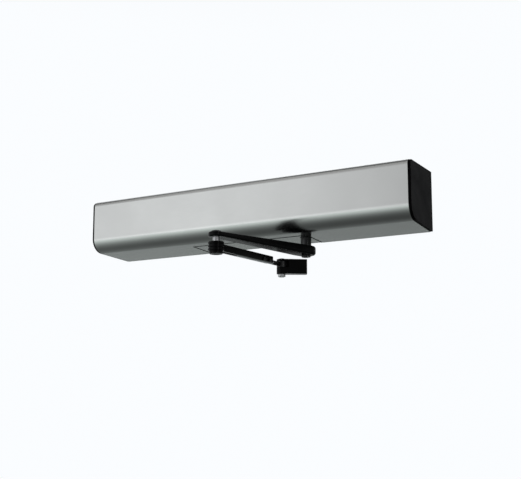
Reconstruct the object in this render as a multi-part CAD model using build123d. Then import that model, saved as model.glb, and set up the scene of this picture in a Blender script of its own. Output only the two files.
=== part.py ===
import os
from math import acos, atan, cos, hypot, pi, radians, sin, tan

from build123d import *

# Swing door operator with a push arm. Millimetres, +X to the right along the wall,
# +Y into the wall, +Z up. The origin is the centre of the four fixing holes,
# in the plane of the wall.

# Cover and end caps
overall_length = 720.0
cover_depth = 125.0
cover_height = 118.0
cover_wall = 2.0
nose_radius = 30.0
brow_radius = 12.0
least_bend = 2.0
underside_rise = 4.0
top_fall = 4.5
cap_thickness = 5.0
cap_step = 0.8
cap_edge = 1.2
spigot_depth = 8.0
spigot_wall = 2.0
spigot_play = 0.2

# Back plate
plate_thickness = 3.0
plate_end_gap = 4.0
lip_depth = 14.0
lip_thickness = 2.0
lip_play = 0.3
fixing_radius = 3.3
fixing_inset = 15.0
fixing_rise = 40.0
inlet_inset = 45.0
inlet_z = 30.0
inlet_radius = 10.0
grommet_wall = 2.0
grommet_flange = 2.0

# End frames that carry the ends of the cover
frame_thickness = 2.5
frame_rim = 14.0
frame_setback = 2.5
frame_tongue = 29.5
frame_foot = 19.5

# Slot in the underside and the plate that closes it
slot_length = 264.0
slot_depth = 76.0
slot_gap = 2.0
spindle_hole_gap = 1.2

# Spindle
spindle_x = 120.0
spindle_offset = 56.0
spindle_radius = 10.5
journal_radius = 10.0
running_play = 0.04
bearing_radius = 16.0
bearing_height = 9.0
bearing_lift = 5.0
pinion_seat_radius = 8.0
gear_seat_radius = 11.0
spindle_shoulder = 1.0
spindle_tip = 2.0

# Gears
pressure_angle = radians(25)
flank_play = 0.09
tooth_levels = (-1.25, -0.6, 0.2, 1.0)
gear_module = 2.0
spindle_teeth = 44
step_teeth = 12
gear_width = 12.0
gear_rim_radius = 36.0
gear_hub_radius = 18.5
gear_recess = 4.0
bevel_module = 1.25
bevel_teeth = 36
motor_teeth = 12
bevel_face = 8.0
bevel_back = 14.0
bevel_hub_radius = 9.0
bevel_hub_length = 8.0
rack_module = 2.5
rack_pinion_teeth = 12
step_shaft_radius = 5.0
motor_shaft_radius = 4.0
motor_shaft_reach = 12.0
motor_bore_depth = 14.0
motor_collar_radius = 6.0
collar_gap = 4.0

# Gear housing
housing_lift = 11.0
housing_wall = 3.0
housing_play = 1.5
housing_small_radius = 38.0
housing_edge = 2.0
lid_hole_gap = 2.0
lid_gap = 3.5
lid_thickness = 3.0
bevel_hub_height = 10.0
bridge_gap = 1.5
bridge_thickness = 8.0
post_radius = 5.0
post_reach = 29.0
post_overhang = 12.5
bridge_margin = 3.0
ear_length = 14.0
ear_thickness = 5.0

# Motor
motor_radius = 30.0
motor_length = 78.0
bell_length = 16.0
bell_radius = 29.0
bell_edge = 3.0
encoder_radius = 18.0
encoder_length = 14.0
encoder_edge = 2.0
tag_radius = 2.5
tag_length = 3.0
tag_offset = 22.0
flange_thickness = 6.0
saddle_width = 22.0
saddle_setback = 47.0
strap_thickness = 1.5
strap_inset = 4.0
saddle_seat = 18.0
saddle_ear = 7.0

# Rack, spring and adjuster
rack_height = 14.0
rack_back = 9.0
rack_teeth = 9
rack_lead = 1.5
rack_tail = 42.0
guide_length = 40.0
guide_wall = 3.5
guide_play = 0.3
plunger_radius = 16.0
plunger_thickness = 6.0
plunger_edge = 1.0
spring_radius = 14.5
spring_wire = 2.25
spring_bracket_inset = 40.0
spring_turns = 9
wire_sides = 6
guide_rod_radius = 5.0
rod_play = 0.3
seat_thickness = 4.0
adjuster_radius = 8.0
adjuster_head = 12.0
adjuster_head_height = 6.0
spring_bracket_thickness = 6.0
spring_bracket_height = 44.0
bracket_margin = 2.0
bracket_corner = 8.0
bracket_foot = 18.0

# Main arm
arm_drop = 16.0
hub_thickness = 18.0
hub_radius = 19.0
elbow_end_radius = 14.0
elbow_end_thickness = 9.0
elbow_end_drop = 19.0
arm_length = 231.0
arm_angle = 251.6
arm_edge = 3.0
arm_margin = 1.0
arm_seat_radius = 8.5
arm_screw_radius = 9.0
arm_screw_height = 3.6
arm_socket_radius = 4.5
arm_socket_depth = 2.2

# Elbow and forearm
elbow_pin_radius = 6.4
elbow_head_radius = 9.0
elbow_head_height = 2.5
elbow_pin_setback = 1.0
knuckle_drop = 37.0
knuckle_height = 22.0
knuckle_radius = 14.5
knuckle_foot_radius = 12.0
knuckle_groove_radius = 12.5
knuckle_ribs = 3
rib_groove = 1.6
forearm_length = 208.5
forearm_angle = 83.06
sleeve_width = 16.0
sleeve_height = 13.0
sleeve_drop = 40.0
sleeve_length = 168.0
sleeve_edge = 2.0
rod_radius = 4.5
rod_drop = 50.0
rod_length = 150.0
eye_radius = 10.0
eye_height = 12.0
clamp_screw_radius = 3.5
clamp_shank_radius = 1.75
clamp_screw_inset = 12.0
clamp_screw_pitch = 20.0
clamp_tip_gap = 0.5
clamp_screw_head = 3.0

# Door shoe
shoe_angle = 30.0
shoe_drop = 40.0
shoe_height = 29.0
shoe_length = 50.0
shoe_front = 6.0
shoe_back = 10.0
shoe_corner = 2.0
fork_gap = 1.0
shoe_swing = 75.0
fork_play = 0.3
pivot_radius = 4.0
pivot_head_radius = 7.0
pivot_head_height = 1.6
nut_width = 13.0
nut_height = 6.0
shoe_screw_radius = 2.75
shoe_screw_depth = 11.0
shoe_screw_spacing = 22.0
shoe_screw_inset = 8.0

# Electrical units
transformer_reach = 72.0
transformer_radius = 42.0
transformer_bore = 14.0
transformer_depth = 38.0
transformer_pad = 2.0
transformer_pad_radius = 38.0
transformer_bend = 9.5
clamp_disc_radius = 26.0
clamp_disc_thickness = 1.5
clamp_bolt_radius = 3.0
clamp_nut_radius = 6.0
clamp_nut_height = 4.0
tray_reach = 87.0
tray_width = 82.0
tray_height = 94.0
tray_depth = 16.0
tray_wall = 2.0
board_thickness = 1.6
board_lift = 10.0
board_margin = 3.0
switch_z = -12.0
switch_width = 22.0
switch_height = 28.0
switch_depth = 40.0
rocker_play = 0.9
rocker_tilt = 8.0
rocker_rise = 3.0
rocker_boss = 3.0
rocker_scoop = 30.0
rocker_hollow = 1.2
switch_wall = 3.0
switch_pocket = 12.0
mains_ways = 3
mains_pitch = 9.0
mains_depth = 18.0
mains_height = 12.0
mains_z = -40.0
mains_screw_radius = 2.2
mains_screw_depth = 6.0
terminal_reach = 26.0
sink_reach = 27.0
sink_fins = 5
sink_pitch = 5.0
sink_fin = 1.5
sink_base = 4.0
sink_depth = 22.0
sink_height = 22.0
sink_inset = 7.0
terminal_depth = 12.0
terminal_height = 8.0
terminal_ways = 7
terminal_inset = 9.0
board_post_radius = 3.5
board_post_inset = 8.0

# Places on the board, from its middle
capacitor_x = -22.0
capacitor_radius = 9.0
capacitor_height = 28.0
small_capacitor_x = (6.0, 18.0)
small_capacitor_rise = 8.0
small_capacitor_radius = 5.0
small_capacitor_height = 14.0
relay_x = 4.0
relay_width = 16.0
relay_length = 12.0
relay_height = 15.0
controller_x = 26.0
controller_width = 12.0
controller_height = 3.0

# Screws
small_edge = 0.8
frame_screw_inset = 5.0
screw_head_radius = 4.0
screw_head_height = 3.2
bracket_screw_rise = 15.0
frame_screw_rise = 12.0

os.makedirs("parts", exist_ok=True)

# Places that follow from the sizes
underside = -cover_height / 2
topside = cover_height / 2
cover_length = overall_length - 2 * cap_thickness
plate_length = cover_length - 2 * (spigot_depth + plate_end_gap)
spindle_y = -spindle_offset
fixing_x = plate_length / 2 - fixing_inset
inlet_x = inlet_inset - plate_length / 2
switch_x = inlet_x
transformer_x = inlet_x + transformer_reach
tray_x = transformer_x + tray_reach
terminal_z = terminal_inset - tray_height / 2
sink_high = tray_height / 2 - sink_inset
sink_low = sink_high - sink_height

housing_floor = underside + housing_lift
gear_z = housing_floor + housing_wall + housing_play
step_shaft_foot = housing_floor + housing_wall / 2
lid_z = gear_z + gear_width + lid_gap
lid_top = lid_z + lid_thickness
rack_root = 1.25 * rack_module
bevel_back_z = lid_top + bevel_hub_height
motor_z = bevel_back_z + bevel_back
spindle_pitch = gear_module * spindle_teeth / 2
step_pitch = gear_module * step_teeth / 2
bevel_pitch = bevel_module * bevel_teeth / 2
motor_pitch = bevel_module * motor_teeth / 2
rack_pitch = rack_module * rack_pinion_teeth / 2
step_x = spindle_x - spindle_pitch - step_pitch
bevel_angle = atan(bevel_pitch / motor_pitch)
cone_distance = hypot(bevel_pitch, motor_pitch)
motor_tip = bevel_pitch * tan(pi / 2 - bevel_angle + atan(bevel_module / cone_distance))
bridge_z = motor_z + motor_tip + bridge_gap
bridge_top = bridge_z + bridge_thickness
housing_radius = spindle_pitch + gear_module + housing_wall + housing_play / 2
flange_x = step_x - housing_small_radius
motor_front = flange_x - flange_thickness

rack_z = bridge_top + guide_wall + guide_play
rack_line = spindle_y + rack_pitch
spring_z = rack_z + rack_height / 2
spring_y = rack_line + rack_back / 2
rack_end = spindle_x + rack_pitch + rack_tail
plunger_end = rack_end + plunger_thickness
spring_bracket_x = plate_length / 2 - spring_bracket_inset
spring_end = spring_bracket_x - seat_thickness
spring_length = spring_end - plunger_end

elbow_x = spindle_x + arm_length * cos(radians(arm_angle))
elbow_y = spindle_y + arm_length * sin(radians(arm_angle))
pivot_x = elbow_x + forearm_length * cos(radians(forearm_angle))
pivot_y = elbow_y + forearm_length * sin(radians(forearm_angle))


# Simple solids between two corners or two ends
def block(x0, x1, y0, y1, z0, z1):
    return Pos((x0 + x1) / 2, (y0 + y1) / 2, (z0 + z1) / 2) * Box(x1 - x0, y1 - y0, z1 - z0)


def post(radius, z0, z1, x, y):
    return Pos(x, y, (z0 + z1) / 2) * Cylinder(radius, z1 - z0)


def bar_x(radius, x0, x1, y, z):
    return Pos((x0 + x1) / 2, y, z) * Rot(0, 90, 0) * Cylinder(radius, x1 - x0)


def bar_y(radius, y0, y1, x, z):
    return Pos(x, (y0 + y1) / 2, z) * Rot(90, 0, 0) * Cylinder(radius, y1 - y0)


def closed_face(points):
    return make_face(Polyline(*points, close=True))


def hull_face(*circles):
    edges = []
    for x, y, radius in circles:
        edges += (Pos(x, y) * Circle(radius)).edges()
    return make_hull(edges)


def prism(face, z0, z1):
    return extrude(Pos(0, 0, z0) * face, z1 - z0)


def save(node, shape):
    shape.label = node
    export_step(shape, f"parts/{node}.step")


# Casing outline at a depth below its skin, seen along X and open towards the wall
def low_edge(distance, inset):
    return underside + underside_rise * distance / cover_depth + inset


def high_edge(distance, inset):
    return topside - top_fall * distance / cover_depth - inset


def casing_face(inset, rear=0.0):
    front = cover_depth - inset
    corners = [
        (-rear, low_edge(rear, inset)),
        (-front, low_edge(front, inset)),
        (-front, high_edge(front, inset)),
        (-rear, high_edge(rear, inset)),
    ]
    nose = max(nose_radius - inset, least_bend)
    brow = max(brow_radius - inset, least_bend)
    bends = FilletPolyline(*corners, radius=[nose, brow])
    return make_face([bends.edges(), Line(corners[3], corners[0]).edges()])


def casing_solid(x0, x1, inset, rear=0.0):
    return extrude(Plane.YZ.offset(x0) * casing_face(inset, rear), x1 - x0)


# Gear teeth: involute flanks, thinned by the flank play
def involute(angle):
    return tan(angle) - angle


def tooth_half_angle(radius, pitch, module):
    base = pitch * cos(pressure_angle)
    lean = acos(base / max(radius, base))
    return (pi * module / 4 - flank_play) / pitch + involute(pressure_angle) - involute(lean)


def tooth_outline(teeth, heights, half_angle, reach, phase):
    points = []
    for tooth in range(teeth):
        middle = phase + 2 * pi * tooth / teeth
        flank = [(reach(height), half_angle(height)) for height in heights]
        sides = [(r, middle - a) for r, a in flank] + [(r, middle + a) for r, a in reversed(flank)]
        points += [(r * cos(angle), r * sin(angle)) for r, angle in sides]
    return points


def spur_gear(teeth, module, width, phase):
    pitch = module * teeth / 2
    heights = [module * level for level in tooth_levels]
    outline = tooth_outline(
        teeth,
        heights,
        lambda height: tooth_half_angle(pitch + height, pitch, module),
        lambda height: pitch + height,
        phase,
    )
    return extrude(closed_face(outline), width)


# Bevel teeth run to the point where the two shafts meet, along +Z from it
def bevel_cone(teeth, cone_angle, far, near, phase):
    pitch = bevel_module * teeth / 2
    virtual = pitch / cos(cone_angle)
    heights = [bevel_module * level for level in tooth_levels]
    outline = tooth_outline(
        teeth,
        heights,
        lambda height: tooth_half_angle(virtual + height, virtual, bevel_module) / cos(cone_angle),
        lambda height: far * tan(cone_angle + atan(height / cone_distance)),
        phase,
    )
    inner = [(x * near / far, y * near / far) for x, y in outline]
    return loft([Pos(0, 0, near) * closed_face(inner), Pos(0, 0, far) * closed_face(outline)], ruled=True)


# Cover: an extruded shell with a slot in its underside, open towards the wall
def make_cover():
    shell = casing_solid(-cover_length / 2, cover_length / 2, 0)
    shell -= casing_solid(-cover_length / 2, cover_length / 2, cover_wall, rear=-cover_wall)
    slot_top = underside + underside_rise + 2 * cover_wall
    half = slot_length / 2
    return shell - block(-half, half, -slot_depth, cover_wall, underside - cover_wall, slot_top)


# End cap: a plate just inside the cover's outline, with a rim that plugs into the cover
def make_cap():
    outer = casing_face(cap_step)
    plate = extrude(Plane.YZ * outer, cap_thickness)
    plate = chamfer(plate.faces().sort_by(Axis.X)[-1].edges(), cap_edge)
    rim_inset = cover_wall + spigot_play
    rim = casing_solid(-spigot_depth, 0, rim_inset, lip_depth)
    rim -= casing_solid(-spigot_depth, 0, rim_inset + spigot_wall, lip_depth + spigot_wall)
    return plate + rim


# Back plate: a channel whose lips lie just inside the cover's walls
def make_back_plate():
    half = plate_length / 2
    skin = cover_wall + lip_play
    plate = casing_solid(-half, half, skin)
    plate -= block(-half, half, -cover_depth, -lip_depth, underside, topside)
    hollow = casing_solid(-half, half, skin + lip_thickness, plate_thickness)
    plate -= hollow
    for x in (-fixing_x, fixing_x):
        for z in (-fixing_rise, fixing_rise):
            plate -= bar_y(fixing_radius, -plate_thickness, 0, x, z)
    return plate - bar_y(inlet_radius, -plate_thickness, 0, inlet_x, inlet_z)


def make_grommet():
    front = -plate_thickness - grommet_flange
    ring = bar_y(inlet_radius, -plate_thickness, 0, inlet_x, inlet_z)
    ring += bar_y(inlet_radius + grommet_flange, front, -plate_thickness, inlet_x, inlet_z)
    return ring - bar_y(inlet_radius - grommet_wall, front, 0, inlet_x, inlet_z)


# End frame: a rim of the casing's own shape, standing on the back plate
def make_end_frame(side):
    outer = side * (plate_length / 2 - frame_setback)
    near, far = sorted((outer, outer - side * frame_thickness))
    skin = cover_wall + lip_play
    frame = casing_solid(near, far, skin, lip_depth)
    frame -= casing_solid(near, far, skin + frame_rim, lip_depth + frame_rim / 2)
    frame += block(near, far, -lip_depth, -plate_thickness, -frame_tongue, frame_tongue)
    foot_near, foot_far = sorted((outer, outer - side * frame_rim))
    foot_front = -plate_thickness - frame_thickness
    foot = block(foot_near, foot_far, foot_front, -plate_thickness, -frame_foot, frame_foot)
    return frame + foot


def make_slot_plate():
    half = slot_length / 2 - slot_gap
    depth = slot_depth - slot_gap
    rear = plate_thickness
    corners = [
        (-rear, low_edge(rear, 0)),
        (-depth, low_edge(depth, 0)),
        (-depth, low_edge(depth, cover_wall)),
        (-rear, low_edge(rear, cover_wall)),
    ]
    plate = extrude(Plane.YZ.offset(-half) * closed_face(corners), 2 * half)
    opening = spindle_radius + spindle_hole_gap
    return plate - post(opening, underside - cover_wall, underside + housing_lift, spindle_x, spindle_y)


# Gear housing: a cup with a pad against the back plate and a boss for the lower bearing
def housing_outline(inset):
    large = (spindle_x, spindle_y, housing_radius - inset)
    small = (step_x, spindle_y, housing_small_radius - inset)
    return hull_face(large, small)


def ear_places():
    return [step_x - ear_length / 2, spindle_x + housing_radius + ear_length / 2]


def make_housing():
    cup = prism(housing_outline(0), housing_floor, lid_z)
    cup = chamfer(cup.faces().sort_by(Axis.Z)[0].edges(), housing_edge)
    rear = -plate_thickness
    left, right = ear_places()
    half_ear = ear_length / 2
    pad = block(left - half_ear, right + half_ear, rear - ear_thickness, rear, housing_floor, lid_z)
    web_end = spindle_x + housing_radius / 2
    pad += block(step_x, web_end, rear - 2 * ear_thickness, rear, housing_floor, lid_z)
    pad += block(step_x, spindle_x, spindle_y + housing_small_radius / 2, rear, housing_floor, lid_z)
    low = underside + bearing_lift
    floor_top = housing_floor + housing_wall
    boss = post(bearing_radius + housing_wall, low, floor_top, spindle_x, spindle_y)
    housing = cup + pad + boss
    housing -= prism(housing_outline(housing_wall), floor_top, lid_z)
    housing -= post(bearing_radius, low, low + bearing_height, spindle_x, spindle_y)
    housing -= post(journal_radius + spindle_hole_gap, underside, gear_z, spindle_x, spindle_y)
    return housing - post(step_shaft_radius + running_play, step_shaft_foot, gear_z, step_x, spindle_y)


def make_lower_bearing():
    low = underside + bearing_lift
    ring = post(bearing_radius, low, low + bearing_height, spindle_x, spindle_y)
    return ring - post(journal_radius + running_play, low, low + bearing_height, spindle_x, spindle_y)


def make_lid():
    lid = prism(housing_outline(0), lid_z, lid_top)
    half = motor_radius - flange_thickness / 2
    lid += block(motor_front, step_x, spindle_y - half, spindle_y + half, lid_z, lid_top)
    flange = block(motor_front, flange_x, spindle_y - half, spindle_y + half, lid_z, motor_z)
    flange += bar_x(half, motor_front, flange_x, spindle_y, motor_z)
    rib = closed_face([(flange_x, lid_top), (flange_x + half / 2, lid_top), (flange_x, motor_z)])
    for side in (-1, 1):
        rib_plane = Plane.XZ.offset(-spindle_y - side * (half - housing_wall))
        flange += extrude(rib_plane * rib, side * housing_wall)
    lid += flange
    lid -= post(gear_seat_radius + lid_hole_gap, lid_z, lid_top, spindle_x, spindle_y)
    lid -= post(step_shaft_radius + lid_hole_gap, lid_z, lid_top, step_x, spindle_y)
    return lid - bar_x(motor_shaft_radius + running_play, motor_front, flange_x, spindle_y, motor_z)


def post_places():
    columns = (step_x - post_overhang, spindle_x + housing_radius / 2)
    return [(x, spindle_y + side * post_reach) for x in columns for side in (-1, 1)]


def make_posts():
    hexagon = RegularPolygon(post_radius, 6)
    return Compound(children=[prism(Pos(x, y) * hexagon, lid_top, bridge_z) for x, y in post_places()])


def make_bridge():
    margin = post_radius + bridge_margin
    bridge = prism(hull_face(*[(x, y, margin) for x, y in post_places()]), bridge_z, bridge_top)
    middle_x = (step_x + spindle_x) / 2
    window = hull_face(*[(middle_x, spindle_y + side * margin, margin) for side in (-1, 1)])
    bridge -= prism(window, bridge_z, bridge_top)
    bridge -= post(bearing_radius, bridge_z, bridge_top, spindle_x, spindle_y)
    return bridge - post(step_shaft_radius + running_play, bridge_z, bridge_top, step_x, spindle_y)


def make_upper_bearing():
    ring = post(bearing_radius, bridge_z, bridge_top, spindle_x, spindle_y)
    return ring - post(journal_radius + running_play, bridge_z, bridge_top, spindle_x, spindle_y)


# Spindle: a stepped shaft from the arm's seat to the rack pinion
def make_spindle():
    hub_low = underside - arm_drop - hub_thickness
    seat_top = gear_z + gear_width + spindle_shoulder
    steps = [
        (arm_seat_radius, hub_low, underside - arm_drop),
        (spindle_radius, underside - arm_drop, underside + bearing_lift),
        (journal_radius, underside + bearing_lift, gear_z),
        (gear_seat_radius, gear_z, seat_top),
        (journal_radius, seat_top, rack_z - guide_play),
        (pinion_seat_radius, rack_z - guide_play, rack_z + rack_height + spindle_tip),
    ]
    sections = [post(radius, low, high, spindle_x, spindle_y) for radius, low, high in steps]
    return sections[0].fuse(*sections[1:])


def make_spindle_gear():
    gear = spur_gear(spindle_teeth, gear_module, gear_width, pi)
    gear -= Pos(0, 0, gear_width / 2) * Cylinder(gear_seat_radius, gear_width)
    recess = Cylinder(gear_rim_radius, gear_recess) - Cylinder(gear_hub_radius, gear_recess)
    for face_z in (0, gear_width):
        gear -= Pos(0, 0, face_z) * recess
    return Pos(spindle_x, spindle_y, gear_z) * gear


def make_rack_pinion():
    pinion = spur_gear(rack_pinion_teeth, rack_module, rack_height, pi / 2)
    pinion -= Pos(0, 0, rack_height / 2) * Cylinder(pinion_seat_radius, rack_height)
    return Pos(spindle_x, spindle_y, rack_z) * pinion


# Intermediate shaft with its pinion, and the bevel gear on it
def make_step_shaft():
    pinion = spur_gear(step_teeth, gear_module, gear_width, pi / step_teeth)
    shaft = post(step_shaft_radius, step_shaft_foot + running_play, bridge_top, step_x, spindle_y)
    return Pos(step_x, spindle_y, gear_z) * pinion + shaft


def make_bevel_gear():
    outer = bevel_pitch + bevel_module
    inner = outer - bevel_face
    gear = bevel_cone(bevel_teeth, bevel_angle, bevel_back, bevel_back / 4, 0)
    gear &= Pos(0, 0, bevel_back / 2) * Cylinder(outer, bevel_back)
    gear -= Pos(0, 0, bevel_back / 3) * Cylinder(inner, bevel_back * 2 / 3)
    gear += Pos(0, 0, bevel_back + bevel_hub_length / 2) * Cylinder(bevel_hub_radius, bevel_hub_length)
    gear -= Pos(0, 0, bevel_back) * Cylinder(step_shaft_radius, 4 * bevel_back)
    place = Plane(origin=(step_x, spindle_y, motor_z), x_dir=(-1, 0, 0), z_dir=(0, 0, -1))
    return place.location * gear


def make_motor_shaft():
    near = bevel_pitch * (1 - bevel_face / cone_distance)
    pinion = bevel_cone(motor_teeth, pi / 2 - bevel_angle, bevel_pitch, near, pi / motor_teeth)
    place = Plane(origin=(step_x, spindle_y, motor_z), x_dir=(0, 0, -1), z_dir=(-1, 0, 0))
    collar_x = flange_x + collar_gap
    collar = bar_x(motor_collar_radius, collar_x, step_x - bevel_pitch, spindle_y, motor_z)
    shaft = bar_x(motor_shaft_radius, motor_front - motor_shaft_reach, collar_x, spindle_y, motor_z)
    return place.location * pinion + collar + shaft


# Motor on the lid's flange, held by a saddle and strap
def make_motor():
    can = bar_x(motor_radius, motor_front - motor_length, motor_front, spindle_y, motor_z)
    bore_end = motor_front - motor_bore_depth
    return can - bar_x(motor_shaft_radius + running_play, bore_end, motor_front, spindle_y, motor_z)


def make_motor_bell():
    right = motor_front - motor_length
    bell = bar_x(bell_radius, right - bell_length, right, spindle_y, motor_z)
    bell = chamfer(bell.faces().sort_by(Axis.X)[0].edges(), bell_edge)
    for side in (-1, 1):
        y = spindle_y + side * tag_offset
        bell += bar_x(tag_radius, right - bell_length - tag_length, right - bell_length, y, motor_z)
    return bell


def make_encoder():
    right = motor_front - motor_length - bell_length
    cap = bar_x(encoder_radius, right - encoder_length, right, spindle_y, motor_z)
    return chamfer(cap.faces().sort_by(Axis.X)[0].edges(), encoder_edge)


def saddle_range():
    middle = motor_front - saddle_setback
    return middle - saddle_width / 2, middle + saddle_width / 2


def make_saddle():
    x0, x1 = saddle_range()
    half = motor_radius + saddle_ear
    seat = block(x0, x1, spindle_y + saddle_seat, -plate_thickness, motor_z - half, motor_z + half)
    return seat - bar_x(motor_radius, x0, x1, spindle_y, motor_z)


def make_strap():
    x0, x1 = saddle_range()
    x0 += strap_inset
    x1 -= strap_inset
    face = spindle_y + saddle_seat
    half = motor_radius + saddle_ear
    band = bar_x(motor_radius + strap_thickness, x0, x1, spindle_y, motor_z)
    band -= block(x0, x1, face, 0, motor_z - 2 * half, motor_z + 2 * half)
    band += block(x0, x1, face - strap_thickness, face, motor_z - half, motor_z + half)
    return band - bar_x(motor_radius, x0, x1, spindle_y, motor_z)


# Rack that the rack pinion drives, behind the spindle
def make_rack():
    step = pi * rack_module
    root = rack_line + rack_root
    tip = rack_line - rack_module
    back = root + rack_back
    first = spindle_x + rack_lead * step
    gap = step / 4 + flank_play
    slope = tan(pressure_angle)
    foot_reach = step / 2 - gap + rack_root * slope
    crest_reach = step / 2 - gap - rack_module * slope
    points = [(first + step / 2, back), (first + step / 2, root)]
    for tooth in range(rack_teeth):
        middle = first - step * tooth
        points += [(middle + foot_reach, root), (middle + crest_reach, tip)]
        points += [(middle - crest_reach, tip), (middle - foot_reach, root)]
    last = first - step * (rack_teeth - 0.5)
    points += [(last, root), (last, back)]
    teeth = extrude(Pos(0, 0, rack_z) * closed_face(points), rack_height)
    return teeth + block(first + step / 2, rack_end, root, back, rack_z, rack_z + rack_height)


def make_plunger():
    disc = bar_x(plunger_radius, rack_end, plunger_end, spring_y, spring_z)
    disc = chamfer(disc.edges(), plunger_edge)
    return disc + bar_x(guide_rod_radius, plunger_end, spring_bracket_x, spring_y, spring_z)


def make_rack_guide():
    x0 = spindle_x - guide_length / 2
    x1 = spindle_x + guide_length / 2
    front = rack_line + rack_root
    back = front + rack_back + guide_play
    low = rack_z - guide_play
    high = rack_z + rack_height + guide_play
    guide = block(x0, x1, front, back + guide_wall, bridge_top, high + guide_wall)
    return guide - block(x0, x1, front, back, low, high)


def make_spring():
    rise = spring_length - 2 * spring_wire
    path = Helix(pitch=rise / spring_turns, height=rise, radius=spring_radius)
    start = Plane(origin=path @ 0, x_dir=(1, 0, 0), z_dir=path % 0)
    coil = sweep(start * RegularPolygon(spring_wire, wire_sides), path=path, is_frenet=True)
    origin = (plunger_end + spring_wire, spring_y, spring_z)
    place = Plane(origin=origin, x_dir=(0, 0, 1), z_dir=(1, 0, 0))
    return place.location * coil


def make_spring_seat():
    seat = bar_x(plunger_radius, spring_end, spring_bracket_x, spring_y, spring_z)
    return seat - bar_x(guide_rod_radius + rod_play, spring_end, spring_bracket_x, spring_y, spring_z)


def make_spring_bracket():
    x0 = spring_bracket_x
    x1 = spring_bracket_x + spring_bracket_thickness
    z0 = spring_z - spring_bracket_height / 2
    z1 = spring_z + spring_bracket_height / 2
    front = spring_y - plunger_radius - bracket_margin
    upright = block(x0, x1, front, -plate_thickness, z0, z1)
    upright = fillet(upright.edges().filter_by(Axis.X).group_by(Axis.Y)[0], bracket_corner)
    foot_front = -plate_thickness - spring_bracket_thickness
    foot = block(x0 - bracket_foot, x1, foot_front, -plate_thickness, z0, z1)
    return upright + foot - bar_x(adjuster_radius, x0, x1, spring_y, spring_z)


def make_adjuster():
    x0 = spring_bracket_x
    x1 = spring_bracket_x + spring_bracket_thickness
    x2 = x1 + adjuster_head_height
    screw = bar_x(adjuster_radius, x0, x1, spring_y, spring_z)
    head = Plane.YZ.offset(x1) * Pos(spring_y, spring_z) * RegularPolygon(adjuster_head, 6)
    screw += extrude(head, adjuster_head_height)
    return screw - bar_x(guide_rod_radius + rod_play, x0, x2, spring_y, spring_z)


# Main arm: a lever that narrows and thins from the hub to the elbow, along its own +X
def arm_place():
    return Location((spindle_x, spindle_y, 0), (0, 0, arm_angle))


def make_main_arm():
    hub_top = underside - arm_drop
    hub_low = hub_top - hub_thickness
    end_top = underside - elbow_end_drop
    end_low = end_top - elbow_end_thickness
    near = -hub_radius - arm_margin
    far = arm_length + elbow_end_radius + arm_margin
    neck = arm_length - elbow_end_radius
    side = [
        (near, hub_low),
        (hub_radius, hub_low),
        (neck, end_low),
        (far, end_low),
        (far, end_top),
        (neck, end_top),
        (hub_radius, hub_top),
        (near, hub_top),
    ]
    arm = prism(hull_face((0, 0, hub_radius), (arm_length, 0, elbow_end_radius)), hub_low, hub_top)
    arm &= extrude(Plane.XZ.offset(-2 * hub_radius) * closed_face(side), 4 * hub_radius)
    arm = chamfer(arm.edges().filter_by(lambda edge: edge.center().Z > end_top - arm_edge), arm_edge)
    arm -= post(arm_seat_radius, hub_low, hub_top, 0, 0)
    arm -= post(elbow_pin_radius, end_low, end_top, arm_length, 0)
    return arm_place() * arm


def make_arm_screw():
    top = underside - arm_drop - hub_thickness
    low = top - arm_screw_height
    screw = post(arm_screw_radius, low, top, spindle_x, spindle_y)
    screw = chamfer(screw.faces().sort_by(Axis.Z)[0].edges(), small_edge)
    socket = Pos(spindle_x, spindle_y, low) * RegularPolygon(arm_socket_radius, 6)
    return screw - extrude(socket, arm_socket_depth)


def make_elbow_pin():
    top = underside - elbow_end_drop
    low = underside - knuckle_drop - knuckle_height + elbow_pin_setback
    pin = post(elbow_pin_radius, low, top, elbow_x, elbow_y)
    head = post(elbow_head_radius, top, top + elbow_head_height, elbow_x, elbow_y)
    return pin + chamfer(head.faces().sort_by(Axis.Z)[-1].edges(), small_edge)


# Knuckle: a ribbed drum with a narrower foot, turning on the elbow pin
def make_knuckle():
    top = underside - knuckle_drop
    rib = (knuckle_height - rib_groove * knuckle_ribs) / (knuckle_ribs + 1)
    points = [(0, top)]
    level = top
    for index in range(knuckle_ribs + 1):
        radius = knuckle_radius if index < knuckle_ribs else knuckle_foot_radius
        points += [(radius, level), (radius, level - rib)]
        level -= rib
        if index < knuckle_ribs:
            points += [(knuckle_groove_radius, level), (knuckle_groove_radius, level - rib_groove)]
            level -= rib_groove
    points.append((0, level))
    drum = revolve(Plane.XZ * closed_face(points), Axis.Z)
    for end in (0, -1):
        drum = chamfer(drum.faces().sort_by(Axis.Z)[end].edges(), small_edge)
    drum -= post(elbow_pin_radius + running_play, level, top, 0, 0)
    return Pos(elbow_x, elbow_y, 0) * drum


def forearm_place():
    return Location((elbow_x, elbow_y, 0), (0, 0, forearm_angle))


def make_sleeve():
    top = underside - sleeve_drop
    low = top - sleeve_height
    half = sleeve_width / 2
    rod_z = underside - rod_drop
    sleeve = block(0, sleeve_length, -half, half, low, top)
    sleeve = fillet(sleeve.edges().filter_by(Axis.X).group_by(Axis.Z)[-1], sleeve_edge)
    sleeve -= bar_x(rod_radius + running_play, 0, sleeve_length, 0, rod_z)
    sleeve -= post(knuckle_radius, low, top, 0, 0)
    for x in clamp_places():
        sleeve -= bar_y(clamp_shank_radius, -half, -rod_radius, x, rod_z)
    return forearm_place() * sleeve


def clamp_places():
    return [sleeve_length - clamp_screw_inset, sleeve_length - clamp_screw_inset - clamp_screw_pitch]


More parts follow.
